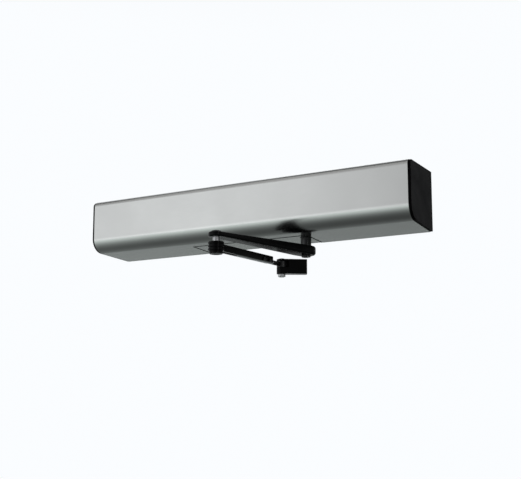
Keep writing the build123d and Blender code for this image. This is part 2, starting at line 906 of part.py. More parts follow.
def make_clamp_screws():
    screws = []
    z = underside - rod_drop
    face = -sleeve_width / 2
    for x in clamp_places():
        screw = bar_y(clamp_screw_radius, face - clamp_screw_head, face, x, z)
        screw += bar_y(clamp_shank_radius, face, -rod_radius - clamp_tip_gap, x, z)
        head_plane = Plane.XZ.offset(clamp_screw_head - face)
        socket = head_plane * Pos(x, z) * RegularPolygon(clamp_shank_radius, 6)
        screw -= extrude(socket, -clamp_screw_head / 2)
        screws.append(forearm_place() * screw)
    return Compound(children=screws)


def make_rod():
    z = underside - rod_drop
    rod = bar_x(rod_radius, forearm_length - rod_length, forearm_length - eye_radius / 2, 0, z)
    rod += post(eye_radius, z - eye_height / 2, z + eye_height / 2, forearm_length, 0)
    rod -= post(pivot_radius + running_play, z - eye_height, z + eye_height, forearm_length, 0)
    return forearm_place() * rod


# Door shoe: a fork round the rod's eye, with a block that screws to the door
def shoe_place():
    return Location((pivot_x, pivot_y, 0), (0, 0, shoe_angle))


def shoe_screw_places():
    last = shoe_length - shoe_screw_inset
    return [last - shoe_screw_spacing, last]


# The fork is open behind the eye, and on its front as far as the rod swings in it
def fork_slot(reach, low, top):
    lean = radians(forearm_angle + 180 - shoe_angle + shoe_swing)
    side = rod_radius + fork_gap
    near_x = -side * sin(lean)
    near_y = side * cos(lean)
    far_x = near_x - (reach + near_y) / tan(lean)
    points = [(0, reach), (-reach, reach), (-reach, -reach), (far_x, -reach), (near_x, near_y)]
    return prism(closed_face(points), low, top) + post(eye_radius + fork_gap, low, top, 0, 0)


def make_shoe():
    top = underside - shoe_drop
    low = top - shoe_height
    end = shoe_length - shoe_corner
    outline = hull_face(
        (0, 0, shoe_back),
        (end, shoe_back - shoe_corner, shoe_corner),
        (end, shoe_corner - shoe_front, shoe_corner),
    )
    shoe = prism(outline, low, top)
    eye_z = underside - rod_drop
    half_gap = eye_height / 2 + fork_play
    reach = 2 * shoe_back
    shoe -= fork_slot(reach, eye_z - half_gap, eye_z + half_gap)
    shoe -= post(pivot_radius, low, top, 0, 0)
    middle = (top + low) / 2
    for x in shoe_screw_places():
        shoe -= bar_y(shoe_screw_radius, shoe_back - shoe_screw_depth, shoe_back, x, middle)
    return shoe_place() * shoe


def make_pivot_pin():
    top = underside - shoe_drop
    low = top - shoe_height
    pin = post(pivot_radius, low - nut_height, top, pivot_x, pivot_y)
    return pin + post(pivot_head_radius, top, top + pivot_head_height, pivot_x, pivot_y)


def make_pivot_nut():
    top = underside - shoe_drop - shoe_height
    nut = prism(RegularPolygon(nut_width / 2, 6, major_radius=False), top - nut_height, top)
    nut = nut - post(pivot_radius, top - nut_height, top, 0, 0)
    return Pos(pivot_x, pivot_y, 0) * nut


# Electrical units on the left half of the back plate
def make_transformer():
    rear = -plate_thickness - transformer_pad
    ring = bar_y(transformer_radius, rear - transformer_depth, rear, transformer_x, 0)
    ring = fillet(ring.edges(), transformer_bend)
    return ring - bar_y(transformer_bore, rear - transformer_depth, rear, transformer_x, 0)


def make_transformer_clamp():
    front = -plate_thickness - transformer_pad - transformer_depth
    face = front - clamp_disc_thickness
    clamp = bar_y(clamp_disc_radius, face, front, transformer_x, 0)
    clamp += bar_y(clamp_bolt_radius, face - clamp_nut_height, -plate_thickness, transformer_x, 0)
    nut = Plane.XZ.offset(-face) * Pos(transformer_x, 0) * RegularPolygon(clamp_nut_radius, 6)
    return clamp + extrude(nut, clamp_nut_height)


def make_transformer_pad():
    front = -plate_thickness - transformer_pad
    pad = bar_y(transformer_pad_radius, front, -plate_thickness, transformer_x, 0)
    return pad - bar_y(clamp_bolt_radius, front, -plate_thickness, transformer_x, 0)


def make_tray():
    half_x = tray_width / 2
    half_z = tray_height / 2
    rear = -plate_thickness
    front = rear - tray_depth
    inner_x = half_x - tray_wall
    inner_z = half_z - tray_wall
    tray = block(tray_x - half_x, tray_x + half_x, front, rear, -half_z, half_z)
    tray -= block(tray_x - inner_x, tray_x + inner_x, front, rear - tray_wall, -inner_z, inner_z)
    for x, z in board_posts():
        tray += bar_y(board_post_radius, rear - board_lift, rear - tray_wall, x, z)
    return tray


def board_posts():
    reach_x = tray_width / 2 - board_post_inset
    reach_z = tray_height / 2 - board_post_inset
    return [(tray_x + side * reach_x, end * reach_z) for side in (-1, 1) for end in (-1, 1)]


def board_front():
    return -plate_thickness - board_lift - board_thickness


def make_board():
    half_x = tray_width / 2 - board_margin
    half_z = tray_height / 2 - board_margin
    rear = board_front() + board_thickness
    return block(tray_x - half_x, tray_x + half_x, board_front(), rear, -half_z, half_z)


# Two rows between the terminals and the heat sink
def board_rows():
    low = terminal_z + terminal_height / 2
    span = sink_low - low
    return [low + span / 4, low + span * 3 / 4]


def make_capacitors():
    places = [(capacitor_x, z, capacitor_radius, capacitor_height) for z in board_rows()]
    z = sink_low + small_capacitor_rise
    places += [(x, z, small_capacitor_radius, small_capacitor_height) for x in small_capacitor_x]
    front = board_front()
    cans = []
    for x, z, radius, height in places:
        can = bar_y(radius, front - height, front, tray_x + x, z)
        cans.append(chamfer(can.faces().sort_by(Axis.Y)[0].edges(), small_edge))
    return Compound(children=cans)


def make_relays():
    rows = board_rows()
    places = [(relay_x, z, relay_width, relay_length, relay_height) for z in rows]
    places.append((controller_x, sum(rows) / 2, controller_width, controller_width, controller_height))
    front = board_front()
    blocks = []
    for x, z, width, length, height in places:
        x += tray_x
        half = length / 2
        blocks.append(block(x - width / 2, x + width / 2, front - height, front, z - half, z + half))
    return Compound(children=blocks)


def make_heat_sink():
    front = board_front()
    x0 = tray_x - sink_reach
    x1 = x0 + (sink_fins - 1) * sink_pitch + sink_fin
    sink = block(x0, x1, front - sink_base, front, sink_low, sink_high)
    for fin in range(sink_fins):
        x = x0 + fin * sink_pitch
        sink += block(x, x + sink_fin, front - sink_depth, front - sink_base, sink_low, sink_high)
    return sink


def make_terminals():
    front = board_front()
    face = front - terminal_depth
    half = terminal_height / 2
    low = terminal_z - half
    left = tray_x - terminal_reach
    strip = block(left, tray_x + terminal_reach, face, front, low, terminal_z + half)
    pitch = 2 * terminal_reach / terminal_ways
    for way in range(terminal_ways):
        x = left + pitch * (way + 0.5)
        strip -= block(x - pitch / 4, x + pitch / 4, face, face + terminal_depth / 2, low, low + half / 2)
        strip -= bar_y(pitch / 4, face, face + terminal_depth / 4, x, terminal_z + half / 4)
    return strip


# Mains switch and its terminal block
def switch_front():
    return -plate_thickness - switch_depth


def make_switch_body():
    half_x = switch_width / 2
    half_z = switch_height / 2
    front = switch_front()
    body = block(-half_x, half_x, front, -plate_thickness, -half_z, half_z)
    half_x -= switch_wall
    half_z -= switch_wall
    body -= block(-half_x, half_x, front, front + switch_pocket, -half_z, half_z)
    return Pos(switch_x, 0, switch_z) * body


def make_rocker():
    x0 = switch_x - switch_width / 2 + switch_wall + rocker_play
    x1 = switch_x + switch_width / 2 - switch_wall - rocker_play
    half = switch_height / 2 - switch_wall - rocker_play
    paddle = block(x0, x1, -rocker_rise - rocker_boss, 0, -half, half)
    paddle -= bar_x(rocker_scoop, x0, x1, rocker_hollow - rocker_rise - rocker_boss - rocker_scoop, 0)
    paddle += bar_x(rocker_boss, x0, x1, 0, 0)
    return Pos(0, switch_front() + rocker_boss, switch_z) * Rot(-rocker_tilt, 0, 0) * paddle


def make_mains_terminals():
    face = -plate_thickness - mains_depth
    half = mains_pitch * mains_ways / 2
    low = mains_z - mains_height / 2
    strip = block(switch_x - half, switch_x + half, face, -plate_thickness, low, low + mains_height)
    for way in range(mains_ways):
        x = switch_x + mains_pitch * (way - (mains_ways - 1) / 2)
        strip -= bar_y(mains_screw_radius, face, face + mains_screw_depth, x, mains_z)
    return strip


# Screws: a hexagon head on the face that it holds down
def screw_y(x, face_y, z):
    head = Plane.XZ.offset(-face_y) * Pos(x, z) * RegularPolygon(screw_head_radius, 6)
    return extrude(head, screw_head_height)


def screw_z(x, y, face_z):
    return prism(Pos(x, y) * RegularPolygon(screw_head_radius, 6), face_z, face_z + screw_head_height)


def make_chassis_screws():
    screws = []
    ear_face = -plate_thickness - ear_thickness
    for x in ear_places():
        for z in (housing_floor + ear_length / 2, lid_z - ear_length / 2):
            screws.append(screw_y(x, ear_face, z))
    screws += [screw_z(x, y, bridge_top) for x, y in post_places()]
    strap_x = motor_front - saddle_setback
    strap_face = spindle_y + saddle_seat - strap_thickness
    ear_z = motor_radius + saddle_ear - screw_head_radius
    foot_x = spring_bracket_x - bracket_foot / 2
    foot_face = -plate_thickness - spring_bracket_thickness
    frame_x = plate_length / 2 - frame_setback - frame_thickness - frame_screw_inset
    frame_face = -plate_thickness - frame_thickness
    for side in (-1, 1):
        screws.append(screw_y(strap_x, strap_face, motor_z + side * ear_z))
        screws.append(screw_y(foot_x, foot_face, spring_z + side * bracket_screw_rise))
        screws += [screw_y(end * frame_x, frame_face, side * frame_screw_rise) for end in (-1, 1)]
    return Compound(children=screws)


def make_board_screws():
    return Compound(children=[screw_y(x, board_front(), z) for x, z in board_posts()])


save("cover", make_cover())
cap = make_cap()
save("right_end_cap", Pos(cover_length / 2, 0, 0) * cap)
save("left_end_cap", Pos(-cover_length / 2, 0, 0) * mirror(cap, Plane.YZ))
save("back_plate", make_back_plate())
save("inlet_grommet", make_grommet())
save("right_end_frame", make_end_frame(1))
save("left_end_frame", make_end_frame(-1))
save("slot_plate", make_slot_plate())
save("gear_housing", make_housing())
save("lower_bearing", make_lower_bearing())
save("gear_housing_lid", make_lid())
save("bridge_posts", make_posts())
save("bearing_bridge", make_bridge())
save("upper_bearing", make_upper_bearing())
save("spindle", make_spindle())
save("spindle_gear", make_spindle_gear())
save("rack_pinion", make_rack_pinion())
save("step_shaft", make_step_shaft())
save("bevel_gear", make_bevel_gear())
save("motor_shaft", make_motor_shaft())
save("motor_can", make_motor())
save("motor_end_bell", make_motor_bell())
save("encoder", make_encoder())
save("motor_saddle", make_saddle())
save("motor_strap", make_strap())
save("closer_rack", make_rack())
save("spring_plunger", make_plunger())
save("rack_guide", make_rack_guide())
save("closing_spring", make_spring())
save("spring_seat", make_spring_seat())
save("spring_bracket", make_spring_bracket())
save("spring_adjuster", make_adjuster())
save("main_arm", make_main_arm())
save("arm_screw", make_arm_screw())
save("elbow_pin", make_elbow_pin())
save("elbow_knuckle", make_knuckle())
save("forearm_sleeve", make_sleeve())
save("clamp_screws", make_clamp_screws())
save("forearm_rod", make_rod())
save("door_shoe", make_shoe())
save("shoe_pivot_pin", make_pivot_pin())
save("shoe_pivot_nut", make_pivot_nut())
save("transformer", make_transformer())
save("transformer_clamp", make_transformer_clamp())
save("transformer_pad", make_transformer_pad())
save("control_tray", make_tray())
save("circuit_board", make_board())
save("board_capacitors", make_capacitors())
save("board_relays", make_relays())
save("heat_sink", make_heat_sink())
save("control_terminals", make_terminals())
save("mains_switch", make_switch_body())
save("switch_rocker", make_rocker())
save("mains_terminals", make_mains_terminals())
save("chassis_screws", make_chassis_screws())
save("board_screws", make_board_screws())
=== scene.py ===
import math

import bmesh
import bpy
from mathutils import Matrix, Vector


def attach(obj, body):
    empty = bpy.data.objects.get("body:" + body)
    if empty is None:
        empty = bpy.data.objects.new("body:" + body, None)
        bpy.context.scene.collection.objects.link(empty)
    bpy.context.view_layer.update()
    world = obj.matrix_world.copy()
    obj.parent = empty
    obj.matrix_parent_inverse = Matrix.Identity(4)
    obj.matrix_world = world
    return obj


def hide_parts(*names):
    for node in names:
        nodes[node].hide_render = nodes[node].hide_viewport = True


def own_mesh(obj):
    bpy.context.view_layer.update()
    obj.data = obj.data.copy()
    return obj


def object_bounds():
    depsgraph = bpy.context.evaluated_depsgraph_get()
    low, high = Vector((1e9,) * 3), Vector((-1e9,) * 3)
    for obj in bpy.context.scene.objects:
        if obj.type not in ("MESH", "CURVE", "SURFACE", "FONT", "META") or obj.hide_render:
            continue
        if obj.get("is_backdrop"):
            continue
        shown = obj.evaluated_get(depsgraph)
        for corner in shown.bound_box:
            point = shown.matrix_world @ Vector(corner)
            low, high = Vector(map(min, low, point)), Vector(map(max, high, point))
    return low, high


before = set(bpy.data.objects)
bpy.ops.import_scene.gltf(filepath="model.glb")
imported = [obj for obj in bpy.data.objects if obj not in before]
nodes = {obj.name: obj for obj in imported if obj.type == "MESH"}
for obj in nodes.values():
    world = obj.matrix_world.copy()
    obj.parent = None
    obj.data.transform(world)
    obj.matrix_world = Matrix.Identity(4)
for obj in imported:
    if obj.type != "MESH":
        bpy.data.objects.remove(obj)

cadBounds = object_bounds()


def feed(node, key, source):
    # a link into one of the node's sockets, from a socket or from another node's first one
    start = source.outputs[0] if isinstance(source, bpy.types.Node) else source
    node.id_data.links.new(start, node.inputs[key])
    return source


def addNode(tree, kind, settings=None, **links):
    # settings name the node's own values or its sockets, links name the sockets that a source feeds
    node = tree.nodes.new(kind if kind.startswith(("Function", "Shader")) else "GeometryNode" + kind)
    for key, value in (settings or {}).items():
        if hasattr(node, key):
            setattr(node, key, value)
        else:
            node.inputs[key].default_value = value
    for key, source in links.items():
        feed(node, key.replace("_", " "), source)
    return node


def combine(operation, first, second):
    # one step of arithmetic on sources or numbers, in the tree that the sources are in
    tree = (second if isinstance(first, (int, float)) else first).id_data
    node = addNode(tree, "ShaderNodeMath", {"operation": operation})
    for index, source in enumerate((first, second)):
        if isinstance(source, (int, float)):
            node.inputs[index].default_value = source
        else:
            feed(node, index, source)
    return node


# materials, all on Object coordinates in metres

def startMaterial(name, colour, metallic, roughness, gloss=0.5, coat=None):
    material = bpy.data.materials.new(name)
    material.use_nodes = True
    shader = material.node_tree.nodes["Principled BSDF"]
    values = {"Base Color": (*colour, 1), "Metallic": metallic, "Roughness": roughness, "Specular IOR Level": gloss}
    for label, value in {**values, **(coat or {})}.items():
        shader.inputs[label].default_value = value
    return material, material.node_tree, shader


def objectNoise(tree, scale, detail, stretch=(1, 1, 1)):
    place = addNode(tree, "ShaderNodeTexCoord")
    mapping = addNode(tree, "ShaderNodeMapping", {"Scale": stretch}, Vector=place.outputs["Object"])
    return addNode(tree, "ShaderNodeTexNoise", {"Scale": scale, "Detail": detail}, Vector=mapping).outputs["Fac"]


def mapRange(source, fromLow, fromHigh, low, high, interpolation="LINEAR"):
    ranges = {"From Min": fromLow, "From Max": fromHigh, "To Min": low, "To Max": high}
    ranges["interpolation_type"] = interpolation
    return addNode(source.id_data, "ShaderNodeMapRange", ranges, Value=source)


def polish(shader, source, low, high):
    feed(shader, "Roughness", mapRange(source, 0.3, 0.7, low, high))


def tint(shader, source, dark, light, fromLow=0.3, fromHigh=0.7):
    ramp = addNode(shader.id_data, "ShaderNodeValToRGB", Fac=source)
    first, last = ramp.color_ramp.elements
    first.position, last.position = fromLow, fromHigh
    first.color, last.color = (*dark, 1), (*light, 1)
    feed(shader, "Base Color", ramp)


def roughen(shader, source, strength, distance, **before):
    depth = {"Strength": strength, "Distance": distance}
    return feed(shader, "Normal", addNode(shader.id_data, "ShaderNodeBump", depth, Height=source, **before))


def drawnMetal(name, dark, light, roughLow, roughHigh, along, streakDepth=0.25):
    # fine streaks along one axis, with broad cloudy patches from handling
    material, tree, shader = startMaterial(name, light, 1.0, roughHigh)
    stretch = [0.012 if axis == along else 1.0 for axis in "xyz"]
    streaks = objectNoise(tree, scale=2600, detail=2.0, stretch=stretch)
    clouds = objectNoise(tree, scale=9, detail=4.0)
    tint(shader, clouds, dark, light, 0.25, 0.75)
    polish(shader, streaks, roughLow, roughHigh)
    roughen(shader, streaks, streakDepth, distance=0.00004)
    return material


def grainPaint(name, dark, light, rough, grainScale, depth, gloss=0.5, strength=0.5):
    # moulded or coated skin: fine grain and slight unevenness of its sheen
    material, tree, shader = startMaterial(name, light, 0.0, rough, gloss)
    grain = objectNoise(tree, grainScale, detail=2.0)
    wear = objectNoise(tree, scale=24, detail=5.0)
    tint(shader, wear, dark, light, 0.35, 0.7)
    polish(shader, wear, rough - 0.06, rough + 0.08)
    roughen(shader, grain, strength, depth)
    return material


def platedMetal(name, dark, light, roughLow, roughHigh, spangleScale):
    # zinc plate: cloudy spangle with a faint brush
    material, tree, shader = startMaterial(name, light, 1.0, roughHigh)
    spangle = objectNoise(tree, spangleScale, detail=6.0)
    brush = objectNoise(tree, scale=1800, detail=2.0, stretch=(0.03, 1, 1))
    tint(shader, spangle, dark, light, 0.3, 0.72)
    polish(shader, spangle, roughLow, roughHigh)
    roughen(shader, brush, strength=0.15, distance=0.00003)
    return material


def castMetal(name, dark, light, rough):
    # die-cast skin: small pits over a soft orange peel
    material, tree, shader = startMaterial(name, light, 1.0, rough)
    peel = objectNoise(tree, scale=420, detail=3.0)
    pits = objectNoise(tree, scale=1500, detail=2.0)
    cloud = objectNoise(tree, scale=18, detail=4.0)
    tint(shader, cloud, dark, light)
    polish(shader, cloud, rough - 0.08, rough + 0.06)
    soft = roughen(shader, peel, strength=0.35, distance=0.0001)
    roughen(shader, pits, strength=0.25, distance=0.00005, Normal=soft)
    return material


def filmedCore(name, base, dark, light):
    # the ring's core under clear film: warm colour, gloss coat, overlapping wraps
    material, tree, shader = startMaterial(name, base, 0.35, 0.35, coat={"Coat Weight": 0.8, "Coat Roughness": 0.12})
    wraps = objectNoise(tree, scale=130, detail=2.0, stretch=(1, 3, 1))
    cloud = objectNoise(tree, scale=45, detail=3.0)
    tint(shader, cloud, dark, light)
    roughen(shader, wraps, strength=0.5, distance=0.0004)
    return material


def boardSkin(name, base, lacquers, trackColour, tracksPerMetre):
    # laminate with raised copper tracks under the green lacquer
    material, tree, shader = startMaterial(name, base, 0.0, 0.3, coat={"Coat Weight": 0.4})
    place = addNode(tree, "ShaderNodeTexCoord")
    facing = {"Rotation": (math.pi / 2, 0, 0), "Scale": [tracksPerMetre] * 3}
    mapping = addNode(tree, "ShaderNodeMapping", facing, Vector=place.outputs["Object"])
    pattern = {"Scale": 1.0, "Mortar Size": 0.05}
    for label, colour in zip(("Color1", "Color2", "Mortar"), (*lacquers, trackColour)):
        pattern[label] = (*colour, 1)
    tracks = addNode(tree, "ShaderNodeTexBrick", pattern, Vector=mapping)
    feed(shader, "Base Color", tracks)
    roughen(shader, tracks.outputs["Fac"], strength=0.4, distance=0.0001)
    return material


# dark and light colour, lowest and highest roughness, direction of the streaks and their depth
drawnMetals = {
    "coverAluminium": ((0.403, 0.406, 0.396), (0.443, 0.446, 0.436), 0.2, 0.27, "x", 0.12),
    "sinkAluminium": ((0.2, 0.2, 0.21), (0.28, 0.28, 0.29), 0.4, 0.55, "z"),
    "bearingSteel": ((0.42, 0.41, 0.39), (0.55, 0.54, 0.52), 0.2, 0.32, "z", 0.1),
    "gearSteel": ((0.3, 0.3, 0.31), (0.42, 0.42, 0.42), 0.28, 0.42, "z"),
    "gearBrass": ((0.5, 0.32, 0.1), (0.66, 0.46, 0.18), 0.25, 0.38, "z"),
    "rodSteel": ((0.62, 0.62, 0.64), (0.72, 0.72, 0.73), 0.12, 0.22, "y", 0.1),
    "enamelWire": ((0.42, 0.15, 0.04), (0.62, 0.27, 0.08), 0.22, 0.34, "y", 0.1),
    "canLid": ((0.5, 0.5, 0.52), (0.62, 0.62, 0.63), 0.25, 0.4, "z", 0.1),
}
# dark and light colour, roughness, scale and depth of the grain, gloss and strength of the grain
grainPaints = {
    "blackSteel": ((0.003, 0.003, 0.0035), (0.006, 0.006, 0.0066), 0.18, 900, 0.00002, 0.35, 0.3),
    "armPaint": ((0.0015, 0.0015, 0.0017), (0.003, 0.003, 0.0033), 0.24, 1100, 0.00003, 0.08, 0.3),
    "motorPaint": ((0.012, 0.012, 0.013), (0.022, 0.022, 0.023), 0.4, 900, 0.00004),
    "capPlastic": ((0.0015, 0.0015, 0.0017), (0.003, 0.003, 0.0033), 0.5, 1500, 0.00005, 0.02),
    "blackPlastic": ((0.01, 0.01, 0.011), (0.018, 0.018, 0.019), 0.48, 1600, 0.00005),
    "greyPlastic": ((0.08, 0.08, 0.085), (0.12, 0.12, 0.125), 0.5, 1500, 0.00005),
    "palePlastic": ((0.6, 0.59, 0.54), (0.72, 0.71, 0.66), 0.42, 1200, 0.00003),
    "terminalPlastic": ((0.02, 0.2, 0.09), (0.035, 0.27, 0.12), 0.4, 1200, 0.00003),
    "rockerPlastic": ((0.42, 0.012, 0.012), (0.52, 0.02, 0.018), 0.25, 700, 0.00002),
    "capacitorSleeve": ((0.01, 0.012, 0.03), (0.018, 0.02, 0.045), 0.25, 500, 0.00002),
    "blackRubber": ((0.008, 0.008, 0.008), (0.016, 0.016, 0.016), 0.7, 800, 0.00006),
}
# dark and light colour, lowest and highest roughness, scale of the spangle
platedMetals = {
    "platedSteel": ((0.5, 0.515, 0.53), (0.58, 0.582, 0.57), 0.34, 0.42, 110),
    "springSteel": ((0.09, 0.09, 0.1), (0.16, 0.16, 0.17), 0.3, 0.42, 90),
}
finishes = {
    "castAluminium": castMetal("castAluminium", (0.42, 0.43, 0.44), (0.54, 0.55, 0.56), 0.5),
    "winding": filmedCore("winding", (0.45, 0.2, 0.05), (0.3, 0.11, 0.02), (0.58, 0.29, 0.08)),
    "boardLaminate": boardSkin(
        "boardLaminate", (0.01, 0.13, 0.05), ((0.008, 0.1, 0.035), (0.01, 0.12, 0.045)), (0.03, 0.24, 0.09), 95,
    ),
}
for recipe, table in ((drawnMetal, drawnMetals), (grainPaint, grainPaints), (platedMetal, platedMetals)):
    finishes.update({name: recipe(name, *values) for name, values in table.items()})
slotNames = {"enamelWire": "winding", "canLid": "plated_steel"}  # finishes that share another one's slot


def slotName(finish):
    return "".join("_" + letter.lower() if letter.isupper() else letter for letter in finish)


print("finishes: %d" % len(finishes))


# shapes, written in millimetres in the row frame

def roundedPath(points, radii, steps, closed=False):
    path = []
    for index, point in enumerate(points):
        corner = Vector(point)
        radius = radii[index] if isinstance(radii, (tuple, list)) else radii
        isEnd = not closed and index in (0, len(points) - 1)
        if isEnd or radius <= 0:
            path.append(tuple(corner))
            continue
        before = (Vector(points[index - 1]) - corner).normalized()
        after = (Vector(points[(index + 1) % len(points)]) - corner).normalized()
        half = before.angle(after) / 2
        centre = corner + (before + after).normalized() * radius / math.sin(half)
        first = corner + before * radius / math.tan(half) - centre
        last = corner + after * radius / math.tan(half) - centre
        path += [tuple(centre + first.slerp(last, step / steps) * radius) for step in range(steps + 1)]
    return path


def loft(loops, capEnds=True, wrap=False):
    # skin over closed loops of the same count; wrap joins the last loop to the first
    size = len(loops[0])
    points = [point for loop in loops for point in loop]
    faces = []
    for span in range(len(loops) if wrap else len(loops) - 1):
        a = span * size
        b = (span + 1) % len(loops) * size
        for index in range(size):
            after = (index + 1) % size
            faces.append((a + index, a + after, b + after, b + index))
    if capEnds and not wrap:
        faces.append(tuple(range(size))[::-1])
        faces.append(tuple(range(len(points) - size, len(points))))
    return points, faces


def spokes(count):
    return [2 * math.pi * step / count for step in range(count)]


def quarterTurn(steps):
    return [math.pi / 2 * step / steps for step in range(steps + 1)]


def polar(radius, angle, x=0.0, y=0.0):
    return x + radius * math.cos(angle), y + radius * math.sin(angle)


def circleLoop(centre, distance, radius, count, axis="z"):
    x, y, z = centre
    circle = [polar(radius, angle) for angle in spokes(count)]
    if axis == "y":
        return [(x + v, y + distance, z + u) for u, v in circle]
    return [(x + u, y + v, z + distance) for u, v in circle]


def hexLoop(centre, distance, across, count):
    x, y, z = centre
    loop = []
    for angle in spokes(count):
        sector = (angle + math.pi / 6) % (math.pi / 3) - math.pi / 6
        loop.append((*polar(across / 2 / math.cos(sector), angle, x, y), z + distance))
    return loop


def turned(centre, profile, count, soft=0.0, steps=3, ring=False, axis="z"):
    # profile is (distance along the axis, radius); ring closes it round a bore
    if soft > 0:
        profile = roundedPath(profile, soft, steps, closed=ring)
    return loft([circleLoop(centre, *spot, count, axis) for spot in profile], wrap=ring)


def newPiece(name, data):
    piece = bpy.data.objects.new(name, data)
    bpy.context.scene.collection.objects.link(piece)
    return piece


def applied(piece):
    # the piece's live modifiers turned into a plain mesh
    graph = bpy.context.evaluated_depsgraph_get()
    mesh = bpy.data.meshes.new_from_object(piece.evaluated_get(graph))
    mesh.name = piece.name
    old = piece.data
    piece.modifiers.clear()
    piece.data = mesh
    bpy.data.meshes.remove(old)
    return mesh


def settle(piece, smoothAngle=35):
    # only real corners stay sharp, and flat faces shade flat between soft edges
    mesh = applied(piece)
    mesh.shade_smooth()
    mesh.set_sharp_from_angle(angle=math.radians(smoothAngle))
    even = piece.modifiers.new("evenShading", "WEIGHTED_NORMAL")
    even.keep_sharp = True
    applied(piece)


def place(piece, finish, body, replaced=()):
    piece.data.materials.clear()
    piece.data.materials.append(finishes[finish])
    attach(piece, body)
    if replaced:
        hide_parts(*replaced)
    slotNames.get(finish, slotName(finish))


def fromShape(name, shape, finish, body, replaced, bevel, cornerAngle=30, segments=2, smoothAngle=35):
    mesh = bpy.data.meshes.new(name)
    shape.to_mesh(mesh)
    shape.free()
    piece = newPiece(name, mesh)
    if bevel:
        edge = piece.modifiers.new("softEdge", "BEVEL")
        edge.width = bevel / 1000
        edge.segments = segments
        edge.limit_method = "ANGLE"
        edge.angle_limit = math.radians(cornerAngle)
    settle(piece, smoothAngle)
    place(piece, finish, body, replaced)


def addPiece(name, parts, finish, body, replaced=(), bevel=0.0, smoothAngle=35):
    shape = bmesh.new()
    for points, faces in parts:
        made = [shape.verts.new(Vector(point) / 1000) for point in points]
        for face in faces:
            shape.faces.new([made[index] for index in face])
    bmesh.ops.remove_doubles(shape, verts=shape.verts, dist=1e-7)
    bmesh.ops.recalc_face_normals(shape, faces=shape.faces)
    fromShape(name, shape, finish, body, replaced, bevel, smoothAngle=smoothAngle)


def softCopy(name, node, finish, body, bevel, segments=2):
    # a merged copy of a CAD node with its hard edges broken
    shape = bmesh.new()
    shape.from_mesh(nodes[node].data)
    bmesh.ops.remove_doubles(shape, verts=shape.verts, dist=1e-6)
    bmesh.ops.dissolve_limit(shape, angle_limit=math.radians(0.6), verts=shape.verts, edges=shape.edges)
    fromShape(name, shape, finish, body, (node,), bevel, cornerAngle=32, segments=segments)


# Geometry Nodes: a tree with named inputs, its result turned into a plain mesh

def newTree(name, sizes, counts=()):
    tree = bpy.data.node_groups.new(name, "GeometryNodeTree")
    tree.interface.new_socket("Geometry", in_out="OUTPUT", socket_type="NodeSocketGeometry")
    sockets = [("Geometry", "Geometry")] + [(label, "Float") for label in sizes]
    sockets += [(label, "Int") for label in counts] + [("Material", "Material")]
    for label, kind in sockets:
        tree.interface.new_socket(label, in_out="INPUT", socket_type="NodeSocket" + kind)
    return tree, tree.nodes.new("NodeGroupInput").outputs


def joined(tree, *sources):
    both = addNode(tree, "JoinGeometry")
    for source in sources:
        feed(both, 0, source)
    return both


def raised(tree, geometry, height):
    lift = addNode(tree, "ShaderNodeCombineXYZ", Z=height)
    return addNode(tree, "Transform", Geometry=geometry, Translation=lift)


def swept(tree, path, wireRadius, wireSides, caps=False):
    wire = addNode(tree, "CurvePrimitiveCircle", {"Resolution": wireSides}, Radius=wireRadius)
    return addNode(tree, "CurveToMesh", {"Fill Caps": caps}, Curve=path, Profile_Curve=wire)


def finishTree(tree, given, geometry):
    real = addNode(tree, "RealizeInstances", Geometry=geometry)
    coat = addNode(tree, "SetMaterial", Geometry=real, Material=given["Material"])
    feed(tree.nodes.new("NodeGroupOutput"), 0, coat)


def growPiece(name, tree, sizes, others, finish, replaced, host=None, origin=(0, 0, 0), turn=None, smoothAngle=40):
    # sizes are in millimetres; others are turns, counts, shares and seeds
    piece = newPiece(name, bpy.data.meshes.new(name) if host is None else host)
    growth = piece.modifiers.new("growth", "NODES")
    growth.node_group = tree
    values = {label: size / 1000 for label, size in sizes.items()}
    values.update(others, Material=finishes[finish])
    for item in tree.interface.items_tree:
        if item.in_out == "INPUT" and item.name in values:
            growth[item.identifier] = values[item.name]
    settle(piece, smoothAngle)
    if turn is not None:
        piece.data.transform(turn)
    for vertex in piece.data.vertices:
        vertex.co += Vector(origin) / 1000
    place(piece, finish, "chassis_body", (replaced,))
    return piece


def facingHost(name, spots):
    # bare points, each with the direction that its screw faces
    mesh = bpy.data.meshes.new(name)
    mesh.from_pydata([Vector(spot) / 1000 for spot, facing in spots], [], [])
    layer = mesh.attributes.new("facing", "FLOAT_VECTOR", "POINT")
    for index, (spot, facing) in enumerate(spots):
        layer.data[index].vector = facing
    return mesh


def extruded(tree, mesh, height, **top):
    return addNode(tree, "ExtrudeMesh", {"Individual": False}, Mesh=mesh, Offset_Scale=height, **top).outputs


def prism(tree, sides, radius, height, crown=None):
    # a closed prism of many sides on z 0, with a bevelled crown where one is asked for
    foot = addNode(tree, "MeshCircle", {"fill_type": "NGON", "Vertices": sides}, Radius=radius)
    top, cap = extruded(tree, foot, height)[:2]
    if crown is not None:
        upper, cap = extruded(tree, top, crown, Selection=cap)[:2]
        top = addNode(tree, "ScaleElements", {"Scale": 0.86}, Geometry=upper, Selection=cap)
    closed = joined(tree, top, addNode(tree, "FlipFaces", Mesh=foot))
    return addNode(tree, "MergeByDistance", {"Distance": 1e-6}, Geometry=closed)


# cover, end caps and slot plate

casing = {
    "length": 710.0,
    "depth": 125.0,
    "underside": -59.0,
    "topside": 59.0,
    "undersideRise": 4.0,
    "topFall": 4.5,
    "nose": 30.0,
    "brow": 12.0,
    "leastRound": 2.0,
    "wall": 2.0,
    "slotLength": 264.0,
    "slotDepth": 76.0,
    "noseSteps": 28,
}


def lowEdge(distance, inset=0.0):
    return casing["underside"] + casing["undersideRise"] * distance / casing["depth"] + inset


def highEdge(distance, inset=0.0):
    return casing["topside"] - casing["topFall"] * distance / casing["depth"] - inset


